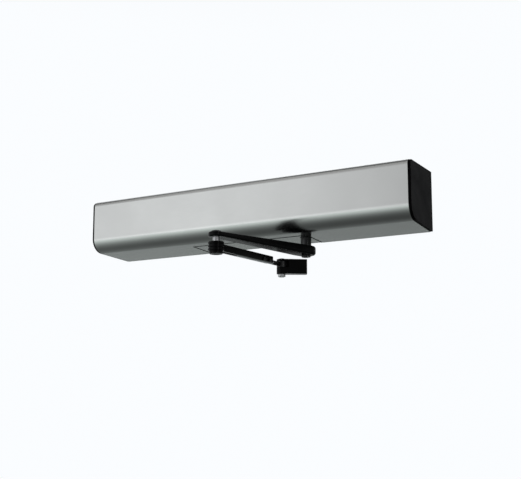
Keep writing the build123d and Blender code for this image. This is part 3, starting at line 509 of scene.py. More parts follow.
def casingPath(inset, rear=0.0, slotSplit=False):
    front = casing["depth"] - inset
    corners = [(-rear, lowEdge(rear, inset)), (-front, lowEdge(front, inset))]
    corners += [(-front, highEdge(front, inset)), (-rear, highEdge(rear, inset))]
    nose, brow = (max(casing[key] - inset, casing["leastRound"]) for key in ("nose", "brow"))
    path = roundedPath(corners, (0, nose, brow, 0), casing["noseSteps"])
    if slotSplit:
        path.insert(1, (-casing["slotDepth"], lowEdge(casing["slotDepth"], inset)))
    return path


def coverShell():
    # one wall between four stations along X, open at the slot in the underside
    outer = casingPath(0, slotSplit=True)
    inner = casingPath(casing["wall"], slotSplit=True)
    half = casing["length"] / 2
    slot = casing["slotLength"] / 2
    loops = [[(x, y, z) for y, z in outer + inner[::-1]] for x in (-half, -slot, slot, half)]
    size = len(loops[0])
    points = [point for loop in loops for point in loop]
    faces = []
    for span in range(3):
        a = span * size
        for index in range(size):
            after = (index + 1) % size
            inSlot = span == 1 and index in (0, size - 2, size - 1)
            if not inSlot:
                faces.append((a + index, a + after, a + size + after, a + size + index))
    for end in (0, 3 * size):
        for index in range(size // 2 - 1):
            low, high = end + index, end + size - 1 - index
            faces.append((low, low + 1, high - 1, high))
    for station in (size, 2 * size):
        faces.append((station, station + 1, station + size - 2, station + size - 1))
    faces.append((size + 1, 2 * size + 1, 2 * size + size - 2, size + size - 2))
    return points, faces


addPiece("coverShell", [coverShell()], "coverAluminium", "cover_body", ("cover",), bevel=0.25, smoothAngle=30)

cap = {
    "step": 0.8,
    "edge": [(0.0, 0.0), (3.6, 0.0), (4.2, 0.12), (4.65, 0.45), (4.9, 0.9), (5.0, 1.5)],  # outward, inset
    "spigot": 8.0,
    "spigotInset": 2.2,
    "spigotWall": 2.0,
    "lip": 14.0,
}


def capLoop(x, inset, rear):
    return [(x, y, z) for y, z in casingPath(inset, rear)]


def endCap(side):
    start = side * casing["length"] / 2
    plate = [capLoop(start + side * x, cap["step"] + inset, inset) for x, inset in cap["edge"]]
    outer = (cap["spigotInset"], cap["lip"])
    inner = (cap["spigotInset"] + cap["spigotWall"], cap["lip"] + cap["spigotWall"])
    deep = start - side * cap["spigot"]
    spigot = [capLoop(start, *outer), capLoop(deep, *outer), capLoop(deep, *inner), capLoop(start, *inner)]
    return [loft(plate), loft(spigot, wrap=True)]


for side, name, node in ((1, "rightCap", "right_end_cap"), (-1, "leftCap", "left_end_cap")):
    addPiece(name, endCap(side), "capPlastic", "cover_body", (node,), smoothAngle=50)

softCopy("slotPlate", "slot_plate", "coverAluminium", "chassis_body", bevel=0.3)

seal = {
    "reach": 131.7,
    "front": 75.7,
    "rear": 3.0,
    "width": 2.7,
    "gap": 1.65,
    "lip": 0.35,
    "lipTop": 0.02,
    "height": 1.6,
}


def slotSeal():
    # a rubber strip round three sides of the slot plate, with a lip under the plate's edge
    section = [(0, -seal["lip"]), (seal["width"], -seal["lip"]), (seal["width"], -seal["lipTop"])]
    section += [(seal["gap"], -seal["lipTop"]), (seal["gap"], seal["height"]), (0, seal["height"])]
    loops = []
    for side, depth in ((-1, seal["rear"]), (-1, seal["front"]), (1, seal["front"]), (1, seal["rear"])):
        isCorner = depth == seal["front"]
        loop = []
        for inward, rise in section:
            d = depth - inward if isCorner else depth
            loop.append((side * (seal["reach"] - inward), -d, lowEdge(d) + rise))
        loops.append(loop)
    return loft(loops)


addPiece("slotSeal", [slotSeal()], "blackRubber", "chassis_body", bevel=0.1)
print("casing done")


# spindle and arms

arms = {
    "spindle": (120.0, -56.0),
    "armLength": 231.0,
    "armAngle": 251.6,
    "forearmAngle": 83.06,
    "forearmLength": 208.5,
    "hubRadius": 19.0,
    "elbowRadius": 14.0,
    "hubTop": -75.0,
    "hubLow": -93.0,
    "elbowTop": -78.0,
    "elbowLow": -87.0,
    "hubRound": 5.0,
    "elbowRound": 3.0,
    "roundSteps": 6,
    "endSteps": 28,
    "sideSteps": 6,
}


def turnedFrom(x, y, angle, start):
    c = math.cos(math.radians(angle))
    s = math.sin(math.radians(angle))
    return (start[0] + x * c - y * s, start[1] + x * s + y * c)


elbow = turnedFrom(arms["armLength"], 0, arms["armAngle"], arms["spindle"])
pivot = turnedFrom(arms["forearmLength"], 0, arms["forearmAngle"], elbow)
spindleAxis, elbowAxis, pivotAxis = ((*spot, 0) for spot in (arms["spindle"], elbow, pivot))


def armLevel(x, hub, end):
    near = arms["hubRadius"]
    far = arms["armLength"] - arms["elbowRadius"]
    share = min(max((x - near) / (far - near), 0), 1)
    return hub + (end - hub) * share


def armOutline(hubInset, endInset):
    # half of the arm from the hub's far side to the elbow's tip, as (x, half width)
    big, small, length = arms["hubRadius"], arms["elbowRadius"], arms["armLength"]
    endSteps, sideSteps = arms["endSteps"], arms["sideSteps"]
    lean = math.asin((big - small) / length)
    path = []
    for step in range(endSteps + 1):
        angle = math.pi - (math.pi / 2 + lean) * step / endSteps
        path.append(polar(big - hubInset, angle))
    first = path[-1]
    angle = math.pi / 2 - lean
    last = polar(small - endInset, angle, length)
    between = [big + (length - small - big) * k / sideSteps for k in range(1, sideSteps)]
    for x in (big, *between, length - small):
        share = (x - first[0]) / (last[0] - first[0])
        path.append((x, first[1] + (last[1] - first[1]) * share))
    for step in range(endSteps + 1):
        path.append(polar(small - endInset, angle * (1 - step / endSteps), length))
    return path


def mainArm():
    rounding = [(1 - math.sin(t), 1 - math.cos(t)) for t in quarterTurn(arms["roundSteps"])]
    low, top = ("hubLow", "elbowLow", 1), ("hubTop", "elbowTop", -1)
    loops = []
    for (inset, rise), (hub, end, way) in [(r, low) for r in rounding] + [(r, top) for r in rounding[::-1]]:
        half = armOutline(inset * arms["hubRound"], inset * arms["elbowRound"])
        loop = []
        for x, y in half + [(x, -w) for x, w in half[-2:0:-1]]:
            lift = way * rise * armLevel(x, arms["hubRound"], arms["elbowRound"])
            z = armLevel(x, arms[hub], arms[end]) + lift
            loop.append((*turnedFrom(x, y, arms["armAngle"], arms["spindle"]), z))
        loops.append(loop)
    points, faces = loft(loops, capEnds=False)
    size = len(loops[0])
    middle = size // 2
    for base in (0, (len(loops) - 1) * size):
        faces.append((base, base + 1, base + size - 1))
        for index in range(1, middle - 1):
            faces.append((base + index, base + index + 1, base + size - index - 1, base + size - index))
        faces.append((base + middle - 1, base + middle, base + middle + 1))
    return points, faces


addPiece("mainArm", [mainArm()], "armPaint", "spindle_body", ("main_arm",), smoothAngle=40)

# levels and radii of the round parts, each from one end of its axis to the other
tip = 0.01
rounds = {
    "spindleColumn": [
        (-93, tip), (-93, 8.5), (-75, 8.5), (-75, 10.5), (-54, 10.5), (-54, 10), (-43.5, 10), (-43.5, 11),
        (-30.5, 11), (-30.5, 10), (20.84, 10), (20.84, 8), (36.2, 8), (37.2, 7), (37.2, tip),
    ],
    "elbowPinShank": [(-117, tip), (-117, 5.6), (-116.2, 6.4), (-78.6, 6.4), (-78.6, tip)],
    "elbowPinHead": [
        (-78.6, tip), (-78.6, 6.4), (-78, 6.4), (-78, 9), (-76.6, 9), (-75.9, 8.4), (-75.5, 7.2), (-75.5, tip),
    ],
    "shoePivotPin": [
        (-134, tip), (-134, 3.4), (-133.4, 4), (-99, 4), (-99, 7), (-98.2, 7), (-97.6, 6.2), (-97.4, 5), (-97.4, tip),
    ],
}
column = turned(spindleAxis, rounds["spindleColumn"], count=64)
addPiece("spindleColumn", [column], "blackSteel", "spindle_body", ("spindle",), bevel=0.3)

armScrew = {
    "low": -96.6,
    "top": -93.0,
    "radius": 9.0,
    "edge": 0.8,
    "socket": 7.8,
    "socketEdge": 0.2,
    "depth": 2.2,
    "steps": 48,
}


def socketHead():
    # a round head under the hub with a hexagon socket from below
    low, radius, edge, steps = (armScrew[key] for key in ("low", "radius", "edge", "steps"))
    levels = [(armScrew["top"], tip), (armScrew["top"], radius), (low + edge, radius)]
    levels += [(low + edge * 0.3, radius - edge * 0.3), (low, radius - edge)]
    loops = [circleLoop(spindleAxis, level, size, steps) for level, size in levels]
    for rise, wider in ((0, 2 * armScrew["socketEdge"]), (armScrew["socketEdge"], 0), (armScrew["depth"], 0)):
        loops.append(hexLoop(spindleAxis, low + rise, armScrew["socket"] + wider, steps))
    loops.append(circleLoop(spindleAxis, low + armScrew["depth"], tip, steps))
    return loft(loops)


addPiece("armScrew", [socketHead()], "blackSteel", "spindle_body", ("arm_screw",), smoothAngle=30)

for name, finish in (("elbowPinShank", "gearSteel"), ("elbowPinHead", "blackSteel")):
    pin = turned(elbowAxis, rounds[name], count=48)
    addPiece(name, [pin], finish, "spindle_body", ("elbow_pin",), smoothAngle=40)

knuckle = {
    "bore": 6.44,
    "top": -96.0,
    "height": 22.0,
    "radius": 14.5,
    "foot": 12.0,
    "groove": 12.5,
    "ribs": 3,
    "gap": 1.6,
    "edge": 0.8,
    "edgeSteps": 3,
}


def knuckleDrum():
    rib = (knuckle["height"] - knuckle["gap"] * knuckle["ribs"]) / (knuckle["ribs"] + 1)
    level = knuckle["top"]
    edge = knuckle["edge"]
    quarter = quarterTurn(knuckle["edgeSteps"])
    profile = [(level, knuckle["bore"])]
    for index in range(knuckle["ribs"] + 1):
        isRib = index < knuckle["ribs"]
        radius = knuckle["radius"] if isRib else knuckle["foot"]
        low = level - rib
        profile += [(level - edge * (1 - math.cos(t)), radius - edge * (1 - math.sin(t))) for t in quarter]
        profile += [(low + edge * (1 - math.sin(t)), radius - edge * (1 - math.cos(t))) for t in quarter]
        level = low
        if isRib:
            profile += [(level, knuckle["groove"]), (level - knuckle["gap"], knuckle["groove"])]
            level -= knuckle["gap"]
    profile.append((level, knuckle["bore"]))
    return turned(elbowAxis, profile, count=72, ring=True)


addPiece("elbowKnuckle", [knuckleDrum()], "armPaint", "forearm_body", ("elbow_knuckle",))

forearm = {
    "stations": ((12.0, 0.0), (167.4, 0.0), (168.0, 0.5)),  # distance from the elbow, inset
    "width": 16.0,
    "top": -99.0,
    "low": -112.0,
    "round": 2.0,
    "roundSteps": 6,
    "edge": 0.4,
    "channel": 4.54,
    "channelSteps": 18,
    "axis": -109.0,
}


def sleeveLoop(x, inset):
    # a bar with a channel for the rod, open along its underside
    half, low, top = forearm["width"] / 2 - inset, forearm["low"] + inset, forearm["top"] - inset
    edge, axis = forearm["edge"], forearm["axis"]
    reach = forearm["channel"] + inset
    opening = math.sqrt(reach ** 2 - (low - axis) ** 2)
    start = math.atan2(low - axis, opening)
    bar = [(half, low), (half, top), (-half, top), (-half, low)]
    section = [(opening, low), (half - edge, low), (half, low + edge)]
    section += roundedPath(bar, (0, forearm["round"], forearm["round"], 0), forearm["roundSteps"])[1:-1]
    section += [(-half, low + edge), (-half + edge, low), (-opening, low)]
    for step in range(1, forearm["channelSteps"]):
        angle = math.pi - start - (math.pi - 2 * start) * step / forearm["channelSteps"]
        section.append(polar(reach, angle, 0, axis))
    return [(*turnedFrom(x, -y, arms["forearmAngle"], elbow), z) for y, z in section]


sleeve = loft([sleeveLoop(*station) for station in forearm["stations"]])
addPiece("forearmSleeve", [sleeve], "armPaint", "forearm_body", ("forearm_sleeve",))

rod = {
    "start": 58.5,
    "stem": 174.0,
    "end": 199.5,
    "radius": 4.5,
    "startEdge": 0.6,
    "stemEdge": 0.2,
    "steps": 40,
    "level": -109.0,
    "eye": 10.0,
    "eyeHeight": 12.0,
    "eyeEdge": 0.7,
    "bore": 4.04,
}


def rodBar(first, last, edge):
    loops = []
    r = rod["radius"]
    for x, radius in ((first, tip), (first, r - edge), (first + edge, r), (last, r), (last, tip)):
        loop = []
        for angle in spokes(rod["steps"]):
            y, z = polar(radius, angle, 0, rod["level"])
            loop.append((*turnedFrom(x, y, arms["forearmAngle"], elbow), z))
        loops.append(loop)
    return loft(loops)


def rodEye():
    high = rod["eyeHeight"] / 2
    profile = [(-high, rod["bore"]), (-high, rod["eye"]), (high, rod["eye"]), (high, rod["bore"])]
    return turned((*pivot, rod["level"]), profile, count=56, soft=rod["eyeEdge"], ring=True)


bright = rodBar(rod["start"], rod["stem"], rod["startEdge"])
dark = rodBar(rod["stem"], rod["end"], rod["stemEdge"])
addPiece("forearmRod", [bright], "rodSteel", "rod_body", ("forearm_rod",))
addPiece("rodEye", [dark, rodEye()], "blackSteel", "rod_body", ("forearm_rod",))

softCopy("doorShoe", "door_shoe", "armPaint", "shoe_body", bevel=0.7, segments=3)
pivotPin = turned(pivotAxis, rounds["shoePivotPin"], count=48)
addPiece("shoePivotPin", [pivotPin], "platedSteel", "shoe_body", ("shoe_pivot_pin",), smoothAngle=40)

nut = {
    "low": -134,
    "high": -128,
    "across": 13.0,
    "bore": 4.02,
    "lead": 0.6,
    "crown": 0.75,
    "crownShare": 0.96,
    "steps": 48,
}


def hexNut():
    low, high, across, bore, lead, crown = (nut[key] for key in ("low", "high", "across", "bore", "lead", "crown"))
    face = across / 2 * nut["crownShare"]
    lower = [(low + lead, bore), (low, bore + lead), (low, face)]
    upper = [(high, face), (high, bore + lead), (high - lead, bore)]
    loops = [circleLoop(pivotAxis, level, radius, nut["steps"]) for level, radius in lower]
    loops += [hexLoop(pivotAxis, level, across, nut["steps"]) for level in (low + crown, high - crown)]
    loops += [circleLoop(pivotAxis, level, radius, nut["steps"]) for level, radius in upper]
    return loft(loops, wrap=True)


addPiece("shoePivotNut", [hexNut()], "platedSteel", "shoe_body", ("shoe_pivot_nut",), smoothAngle=25)
print("arms done")


# repeated pieces

springTree, given = newTree("springCoil", ("Coil Radius", "Wire Radius", "Length", "Turns"))
helix = addNode(
    springTree, "CurveSpiral", {"Resolution": 40}, Start_Radius=given["Coil Radius"],
    End_Radius=given["Coil Radius"], Rotations=given["Turns"], Height=given["Length"],
)
coil = swept(springTree, helix, given["Wire Radius"], wireSides=14, caps=True)
endCircle = addNode(springTree, "CurvePrimitiveCircle", {"Resolution": 48}, Radius=given["Coil Radius"])
endRing = swept(springTree, endCircle, given["Wire Radius"], wireSides=14)
finishTree(springTree, given, joined(springTree, coil, endRing, raised(springTree, endRing, given["Length"])))

spring = {"front": 183.0, "back": 299.0, "axis": (-36.5, 28.14), "radius": 14.5, "wire": 2.25, "turns": 9.0}
upToX = Matrix(((0, 0, 1), (0, 1, 0), (-1, 0, 0))).to_4x4()
upToFront = Matrix(((1, 0, 0), (0, 0, -1), (0, 1, 0))).to_4x4()
closingSpring = growPiece(
    "closingSpring",
    springTree,
    {
        "Coil Radius": spring["radius"],
        "Wire Radius": spring["wire"],
        "Length": spring["back"] - spring["front"] - 2 * spring["wire"],
    },
    {"Turns": spring["turns"]},
    "springSteel",
    "closing_spring",
    origin=(spring["front"] + spring["wire"], *spring["axis"]),
    turn=upToX,
)
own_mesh(closingSpring)
print("spring done")

screwSizes = {
    "Washer Radius": 3.9,
    "Washer Height": 0.7,
    "Head Radius": 3.4,
    "Head Height": 2.0,
    "Crown Height": 0.5,
}
screwTree, given = newTree("screwField", screwSizes)
washer = prism(screwTree, 24, given["Washer Radius"], given["Washer Height"])
head = prism(screwTree, 6, given["Head Radius"], given["Head Height"], given["Crown Height"])
screw = joined(screwTree, washer, raised(screwTree, head, given["Washer Height"]))
facing = addNode(screwTree, "InputNamedAttribute", {"data_type": "FLOAT_VECTOR", "Name": "facing"})
aimed = addNode(screwTree, "FunctionNodeAlignRotationToVector", {"axis": "Z"}, Vector=facing)
field = addNode(screwTree, "InstanceOnPoints", Points=given["Geometry"], Instance=screw, Rotation=aimed)
finishTree(screwTree, given, field)


def screwGrid(across, depths, heights, facing):
    return [((x, y, z), facing) for x in across for y in depths for z in heights]


front, up = (0, -1, 0), (0, 0, 1)
screwSpots = {
    "chassisScrews": screwGrid((57, 176.75), (-8,), (-43.4, -32.6), front)  # gear housing ears
    + screwGrid((51.5, 144.875), (-85, -27), (17.34,), up)  # housing lid
    + screwGrid((-27,), (-39.5,), (-34, 32), front)  # motor strap
    + screwGrid((294,), (-9,), (13.14, 43.14), front)  # spring bracket
    + screwGrid((-333, 333), (-5.5,), (-12, 12), front),  # end frames
    "boardScrews": screwGrid((-172, -106), (-14.6,), (-39, 39), front),
}
for name, node in (("chassisScrews", "chassis_screws"), ("boardScrews", "board_screws")):
    host = facingHost(name, screwSpots[name])
    growPiece(name, screwTree, screwSizes, {}, "platedSteel", node, host=host, smoothAngle=25)
print("screws done: %d" % sum(len(spots) for spots in screwSpots.values()))

ballTree, given = newTree("ballRing", ("Pitch Radius", "Ball Radius"), ("Ball Count",))
pitch = addNode(ballTree, "MeshCircle", Vertices=given["Ball Count"], Radius=given["Pitch Radius"])
ball = addNode(ballTree, "MeshUVSphere", {"Segments": 16, "Rings": 10}, Radius=given["Ball Radius"])
finishTree(ballTree, given, addNode(ballTree, "InstanceOnPoints", Points=pitch, Instance=ball))

bearing = {
    "lower": (-54.0, -45.0),
    "upper": (9.34, 17.34),
    "outer": 16.0,
    "outerInside": 14.0,
    "innerOutside": 12.1,
    "bore": 10.04,
    "round": 0.4,
    "pitch": 13.05,
    "ball": 1.75,
    "balls": 18,
}


def bearingRace(low, high, inside, outside):
    profile = [(low, inside), (low, outside), (high, outside), (high, inside)]
    return turned(spindleAxis, profile, count=64, soft=bearing["round"], ring=True)


for side in ("lower", "upper"):
    low, high = bearing[side]
    node = side + "_bearing"
    races = [
        bearingRace(low, high, bearing["outerInside"], bearing["outer"]),
        bearingRace(low, high, bearing["bore"], bearing["innerOutside"]),
    ]
    addPiece(side + "BearingRaces", races, "bearingSteel", "chassis_body", (node,))
    sizes = {"Pitch Radius": bearing["pitch"], "Ball Radius": bearing["ball"]}
    count = {"Ball Count": bearing["balls"]}
    centre = (*arms["spindle"], (low + high) / 2)
    growPiece(side + "BearingBalls", ballTree, sizes, count, "bearingSteel", node, origin=centre, smoothAngle=60)
print("bearings done")

turnTree, given = newTree(
    "woundTurns",
    ("Ring Radius", "Section Width", "Section Height", "Corner", "Wire Radius", "Unevenness"),
    ("Turns", "Seed"),
)
width, height = given["Section Width"], given["Section Height"]
section = addNode(turnTree, "CurvePrimitiveQuadrilateral", Width=width, Height=height)
bent = addNode(turnTree, "FilletCurve", {"mode": "POLY", "Count": 6}, Curve=section, Radius=given["Corner"])
loop = swept(turnTree, bent, given["Wire Radius"], wireSides=6)
ringPoints = addNode(turnTree, "MeshCircle", Vertices=given["Turns"], Radius=given["Ring Radius"])
drift = addNode(turnTree, "FunctionNodeRandomValue", {"data_type": "FLOAT"}, Seed=given["Seed"])
feed(drift, 3, given["Unevenness"])
x, y, z = addNode(turnTree, "ShaderNodeSeparateXYZ", Vector=addNode(turnTree, "InputPosition")).outputs
leaning = combine("ADD", combine("ARCTAN2", y, x), drift.outputs[1])
stance = addNode(turnTree, "ShaderNodeCombineXYZ", {"X": math.pi / 2}, Z=leaning)
upright = addNode(turnTree, "FunctionNodeEulerToRotation", Euler=stance)
turns = addNode(turnTree, "InstanceOnPoints", Points=ringPoints, Instance=loop, Rotation=upright)
finishTree(turnTree, given, turns)

toroid = {
    "centre": (-226.0, -24.0, 0.0),
    "outer": 42.0,
    "bore": 14.0,
    "height": 38.0,
    "bend": 9.0,
    "coreBend": 8.6,
    "coreGap": 0.2,
    "wire": 0.95,
    "turns": 118,
    "unevenness": 0.012,
    "seed": 4,
}
wireRoom = 2 * toroid["wire"]
growPiece(
    "transformerTurns",
    turnTree,
    {
        "Ring Radius": (toroid["outer"] + toroid["bore"]) / 2,
        "Section Width": toroid["outer"] - toroid["bore"] - wireRoom,
        "Section Height": toroid["height"] - wireRoom,
        "Corner": toroid["bend"],
        "Wire Radius": toroid["wire"],
    },
    {"Unevenness": toroid["unevenness"], "Turns": toroid["turns"], "Seed": toroid["seed"]},
    "enamelWire",
    "transformer",
    origin=toroid["centre"],
    turn=upToFront,
    smoothAngle=75,
)


def toroidCore():
    inset = toroid["wire"] + toroid["coreGap"]
    low, high = inset - toroid["height"] / 2, toroid["height"] / 2 - inset
    near, far = toroid["bore"] + inset, toroid["outer"] - inset
    profile = [(low, near), (low, far), (high, far), (high, near)]
    return turned(toroid["centre"], profile, count=96, soft=toroid["coreBend"], steps=6, ring=True, axis="y")


addPiece("transformerCore", [toroidCore()], "winding", "chassis_body", ("transformer",))
print("transformer done: %d turns" % toroid["turns"])

can = {
    "places": [(-161, -21, 9, 28), (-161, 5, 9, 28), (-133, 26, 5, 14), (-121, 26, 5, 14)],  # x, z, radius, height
    "board": -14.6,
    "shoulder": 1.2,
    "crimp": 3.0,
    "crimpReach": 0.8,
    "crimpDepth": 0.5,
    "rim": 0.8,
    "lid": 0.5,
    "lidEdge": 0.15,
    "lidGap": 0.05,
    "sink": 0.01,
    "facets": 40,
}


def canSleeve(x, z, radius, height):
    # sleeve with its crimp near the board and a rolled shoulder round the open top
    crimp, shoulder, reach = can["crimp"], can["shoulder"], can["crimpReach"]
    mouth = radius - shoulder - can["rim"]
    profile = [(0, tip), (0, radius), (crimp - reach, radius), (crimp, radius - can["crimpDepth"])]
    profile += [(crimp + reach, radius), (height - shoulder, radius)]
    profile += [(height - shoulder * 0.3, radius - shoulder * 0.3), (height, radius - shoulder)]
    profile += [(height, mouth), (height - can["lid"], mouth), (height - can["lid"], tip)]
    return turned((x, can["board"], z), [(-distance, size) for distance, size in profile], can["facets"], axis="y")


def canLid(x, z, radius, height):
    # bare metal disc with a soft edge, set into the sleeve's mouth
    reach = radius - can["shoulder"] - can["rim"] - can["lidGap"]
    low = can["board"] - height + can["lid"] - can["sink"]
    high = can["board"] - height + can["lidEdge"]
    profile = [(low, tip), (low, reach), (high, reach - can["lidEdge"]), (high, tip)]
    return turned((x, 0, z), profile, can["facets"], axis="y")


for name, maker, finish in (("capacitorSleeves", canSleeve, "capacitorSleeve"), ("capacitorLids", canLid, "canLid")):
    addPiece(name, [maker(*spot) for spot in can["places"]], finish, "chassis_body", ("board_capacitors",))
print("capacitors done")


# CAD nodes that keep their shape, with their edges broken and their own finish

softened = {
    "back_plate": ("backPlate", "platedSteel", 0.3),
    "inlet_grommet": ("inletGrommet", "blackRubber", 0.5),
    "right_end_frame": ("rightFrame", "greyPlastic", 0.3),
    "left_end_frame": ("leftFrame", "greyPlastic", 0.3),
    "gear_housing": ("gearHousing", "castAluminium", 0.8),
    "gear_housing_lid": ("housingLid", "castAluminium", 0.4),
    "bearing_bridge": ("bearingBridge", "castAluminium", 0.6),
    "motor_saddle": ("motorSaddle", "castAluminium", 0.6),
    "motor_strap": ("motorStrap", "platedSteel", 0.2),
    "rack_guide": ("rackGuide", "palePlastic", 0.4),
    "spring_bracket": ("springBracket", "platedSteel", 0.6),
    "heat_sink": ("heatSink", "sinkAluminium", 0.2),
    "control_tray": ("controlTray", "platedSteel", 0.3),
    "circuit_board": ("circuitBoard", "boardLaminate", 0.1),
    "control_terminals": ("controlTerminals", "terminalPlastic", 0.2),
    "board_relays": ("boardRelays", "blackPlastic", 0.4),
    "mains_switch": ("mainsSwitch", "blackPlastic", 0.4),
    "switch_rocker": ("switchRocker", "rockerPlastic", 0.4),
    "mains_terminals": ("mainsTerminals", "palePlastic", 0.3),
}
for node, (name, finish, bevel) in softened.items():
    softCopy(name, node, finish, "rocker_body" if node == "switch_rocker" else "chassis_body", bevel)

asBuilt = {
    "platedSteel": ("bridge_posts", "spring_seat", "transformer_clamp"),
    "gearSteel": ("spindle_gear", "rack_pinion", "step_shaft", "motor_shaft", "closer_rack", "spring_plunger"),
    "gearBrass": ("bevel_gear", "spring_adjuster"),
    "motorPaint": ("motor_can",),
    "castAluminium": ("motor_end_bell",),
    "blackPlastic": ("encoder",),
    "blackSteel": ("clamp_screws",),
    "blackRubber": ("transformer_pad",),
}
for finish, kept in asBuilt.items():
    for mesh in [nodes[node].data for node in kept]:
        for index in range(len(mesh.materials)):
            mesh.materials[index] = finishes[finish]
        if not mesh.materials:
            mesh.materials.append(finishes[finish])
print("chassis pieces done: %d softened, %d as built" % (len(softened), sum(map(len, asBuilt.values()))))


# floor with a painted shadow and painted light, lamps and camera

def ease(source, fromLow, fromHigh, low, high):
    return mapRange(source, fromLow, fromHigh, low, high, "SMOOTHSTEP")


def product(first, *others):
    for other in others:
        first = combine("MULTIPLY", first, other)
    return first


floorShadeSettings = {
    "level": -2.3,
    "reach": 16.0,
    "colour": (0.46, 0.46, 0.455),
    "dark": (0.45, 0.45, 0.445),
    "light": (0.47, 0.47, 0.465),
    "glowTint": (0.91, 1.0, 0.98),
    "glowShare": 0.85,
    # painted floor brightness by distance from the object in metres, towards the front and the rear: a painted shadow
    # under the object, and painted light far to the front for the metal to reflect
    "frontLevels": [
        (0.2, 0.14), (1.0, 0.18), (1.4, 0.24), (2.0, 0.35), (2.6, 0.5),
        (3.6, 0.74), (5.2, 1.1), (8.0, 1.45), (13.0, 1.6),
    ],
    "rearLevels": [(0.2, 0.14), (0.6, 0.16), (1.1, 0.2), (1.7, 0.27), (3.5, 0.36), (8.0, 0.41), (14.0, 0.43)],
    "rampReach": 20.0,
    "lengthwise": 0.6,
    "middle": 0.06,
    # where the painted glow changes, in metres, and from what to what; the floor is painted darker towards the right
    "front": (-1.5, 0.6, 1.0, 0.0),
    "right": (-1.4, 0.4, 1.0, 0.7),
    "farRight": (1.0, 10.0, 0.0, -0.58),
    "rearRight": (-7.0, -1.5, 0.0, -0.22),
}
reach, level = floorShadeSettings["reach"], floorShadeSettings["level"]
corners = [(x, y, level) for x, y in ((-reach, -reach), (reach, -reach), (reach, reach), (-reach, reach))]
floorMesh = bpy.data.meshes.new("paintedShadeFloor")
floorMesh.from_pydata(corners, [], [(0, 1, 2, 3)])
floor = newPiece("paintedShadeFloor", floorMesh)
floorSkin, floorTree, floorShader = startMaterial("paintedShadeFloor", floorShadeSettings["colour"], 0.0, 0.85)
tint(floorShader, objectNoise(floorTree, scale=1.2, detail=3.0), floorShadeSettings["dark"], floorShadeSettings["light"])
floorMesh.materials.append(floorSkin)
floor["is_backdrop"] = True


def levelRamp(source, stops):
    # the ramp holds half the level, because its colours end at white
    ramp = addNode(source.id_data, "ShaderNodeValToRGB", Fac=source)
    while len(ramp.color_ramp.elements) < len(stops):
        ramp.color_ramp.elements.new(0.5)
    for element, (distance, height) in zip(ramp.color_ramp.elements, stops):
        element.position = distance / floorShadeSettings["rampReach"]
        element.color = (height / 2, height / 2, height / 2, 1)
    return product(ramp, 2.0)


def changed(glow, change):
    return product(glow, combine("ADD", change, 1.0))


# painted shade and light on the floor: dark under the object as a painted shadow, bright far to the front-left,
# darker to the right
def paintedFloorShading(tree):
    spot = addNode(tree, "ShaderNodeTexCoord").outputs["Object"]
    x, y, z = addNode(tree, "ShaderNodeSeparateXYZ", Vector=spot).outputs
    along = product(x, floorShadeSettings["lengthwise"])
    across = combine("ADD", y, floorShadeSettings["middle"])
    away = combine("ADD", product(along, along), product(across, across))
    away = combine("DIVIDE", combine("SQRT", away, 0.0), floorShadeSettings["rampReach"])
    towardFront = levelRamp(away, floorShadeSettings["frontLevels"])
    towardRear = levelRamp(away, floorShadeSettings["rearLevels"])
    frontPart = ease(y, *floorShadeSettings["front"])
    rearPart = combine("SUBTRACT", 1.0, frontPart)
    glow = product(combine("SUBTRACT", towardFront, towardRear), frontPart)
    glow = combine("ADD", glow, towardRear)
    glow = product(glow, ease(x, *floorShadeSettings["right"]))
    glow = changed(glow, product(ease(x, *floorShadeSettings["farRight"]), frontPart))
    return changed(glow, product(ease(x, *floorShadeSettings["rearRight"]), rearPart))


# camera, glossy and transmission rays see the floor's painted shadow and painted light
rays = addNode(floorTree, "ShaderNodeLightPath").outputs
seen = combine("ADD", rays["Is Camera Ray"], rays["Is Glossy Ray"])
seen = combine("ADD", seen, rays["Is Transmission Ray"])
glowTint = {"Color": (*floorShadeSettings["glowTint"], 1)}
paintedFloorGlow = addNode(floorTree, "ShaderNodeEmission", glowTint, Strength=paintedFloorShading(floorTree))
floorMix = addNode(floorTree, "ShaderNodeMixShader", Fac=product(seen, floorShadeSettings["glowShare"]))
feed(floorMix, 1, floorShader)
feed(floorMix, 2, paintedFloorGlow)
feed(floorTree.nodes["Material Output"], "Surface", floorMix)

# place, target, size and power
lamps = {
    "topLight": ((-0.9, -1.5, 2.1), (0, -0.05, 0), (2.8, 2.0), 10),
    "sideLight": ((2.4, -1.4, 0.6), (0, -0.05, 0), (0.5, 1.4), 5),
    "backLight": ((-0.6, 2.4, 1.5), (0, 0, 0), (1.6, 1.2), 7),
}
for name, (spot, target, size, power) in lamps.items():
    light = bpy.data.lights.new(name, "AREA")
    light.shape = "RECTANGLE"
    light.size, light.size_y = size
    light.energy = power
    lamp = newPiece(name, light)
    lamp.location = spot
    lamp.rotation_euler = (Vector(target) - Vector(spot)).to_track_quat("-Z", "Y").to_euler()
    lamp.visible_camera = False

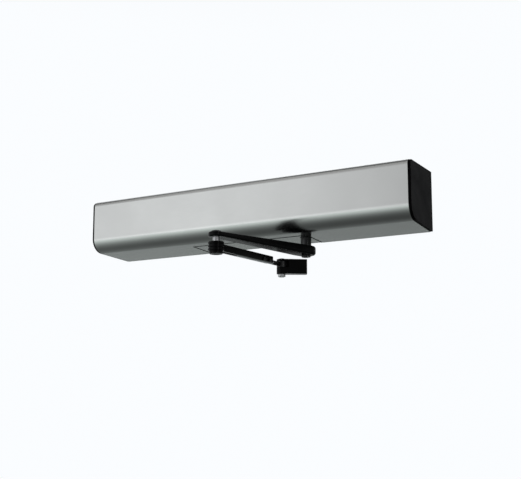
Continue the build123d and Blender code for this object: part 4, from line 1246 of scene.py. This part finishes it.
# studio walls as a soft gradient over the directions: each band goes from one level to the next
studio = {
    "sideways": (-0.15, 0.4, 0.9, 0.25),
    "frontLift": (-0.55, -0.24, 0.78, 0.0),
    "leftEdge": (-0.75, -0.55, 0.6, 1.0),
    "frontward": (-0.4, 0.1, 1.0, 0.0),
    "overFront": (0.28, 0.65, 1.0, 0.1),
    "overRear": (0.4, 0.9, 1.0, 0.45),
    "rear": (0.0, 0.35, 1.0, 0.5),
    "rearShare": (-0.05, 0.3, 0.0, 1.0),
    "horizonGlow": (-0.02, 0.09, 0.45, 0.0),
    "tone": (0.96, 0.98, 1.0),
}


def studioLevel(tree):
    direction = addNode(tree, "ShaderNodeTexCoord").outputs["Generated"]
    x, y, z = addNode(tree, "ShaderNodeSeparateXYZ", Vector=direction).outputs
    lift = product(ease(x, *studio["frontLift"]), ease(y, *studio["frontward"]))
    front = combine("ADD", ease(x, *studio["sideways"]), lift)
    front = combine("ADD", front, ease(z, *studio["horizonGlow"]))
    front = product(front, ease(x, *studio["leftEdge"]), ease(z, *studio["overFront"]))
    rear = product(ease(x, *studio["rear"]), ease(z, *studio["overRear"]))
    rearShare = ease(y, *studio["rearShare"])
    front = product(front, combine("SUBTRACT", 1.0, rearShare))
    return combine("ADD", front, product(rear, rearShare))


world = bpy.data.worlds.new("studio")
world.use_nodes = True
backdrop = world.node_tree.nodes["Background"]
backdrop.inputs["Color"].default_value = (*studio["tone"], 1)
feed(backdrop, "Strength", studioLevel(world.node_tree))
bpy.context.scene.world = world
bpy.context.scene.view_settings.view_transform = "Standard"

viewpoint = {
    "spot": (0.8476, -1.5786, -0.3886),
    "azimuth": 28.586,
    "pitch": 8.0,
    "lens": 60.129,
    "sensor": 36,
    "shift": 0.0876,
    "sight": 50,
}
camera = bpy.data.cameras.new("camera")
camera.lens = viewpoint["lens"]
camera.sensor_width = viewpoint["sensor"]
camera.shift_y = viewpoint["shift"]
camera.clip_end = viewpoint["sight"]
eye = newPiece("camera", camera)
eye.location = viewpoint["spot"]
eye.rotation_euler = (math.radians(90 + viewpoint["pitch"]), 0, math.radians(viewpoint["azimuth"]))
bpy.context.scene.camera = eye
print("stage, light and camera done")

sizes = {
    "cad": [list(corner) for corner in cadBounds],
    "visual": [list(corner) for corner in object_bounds()],
}
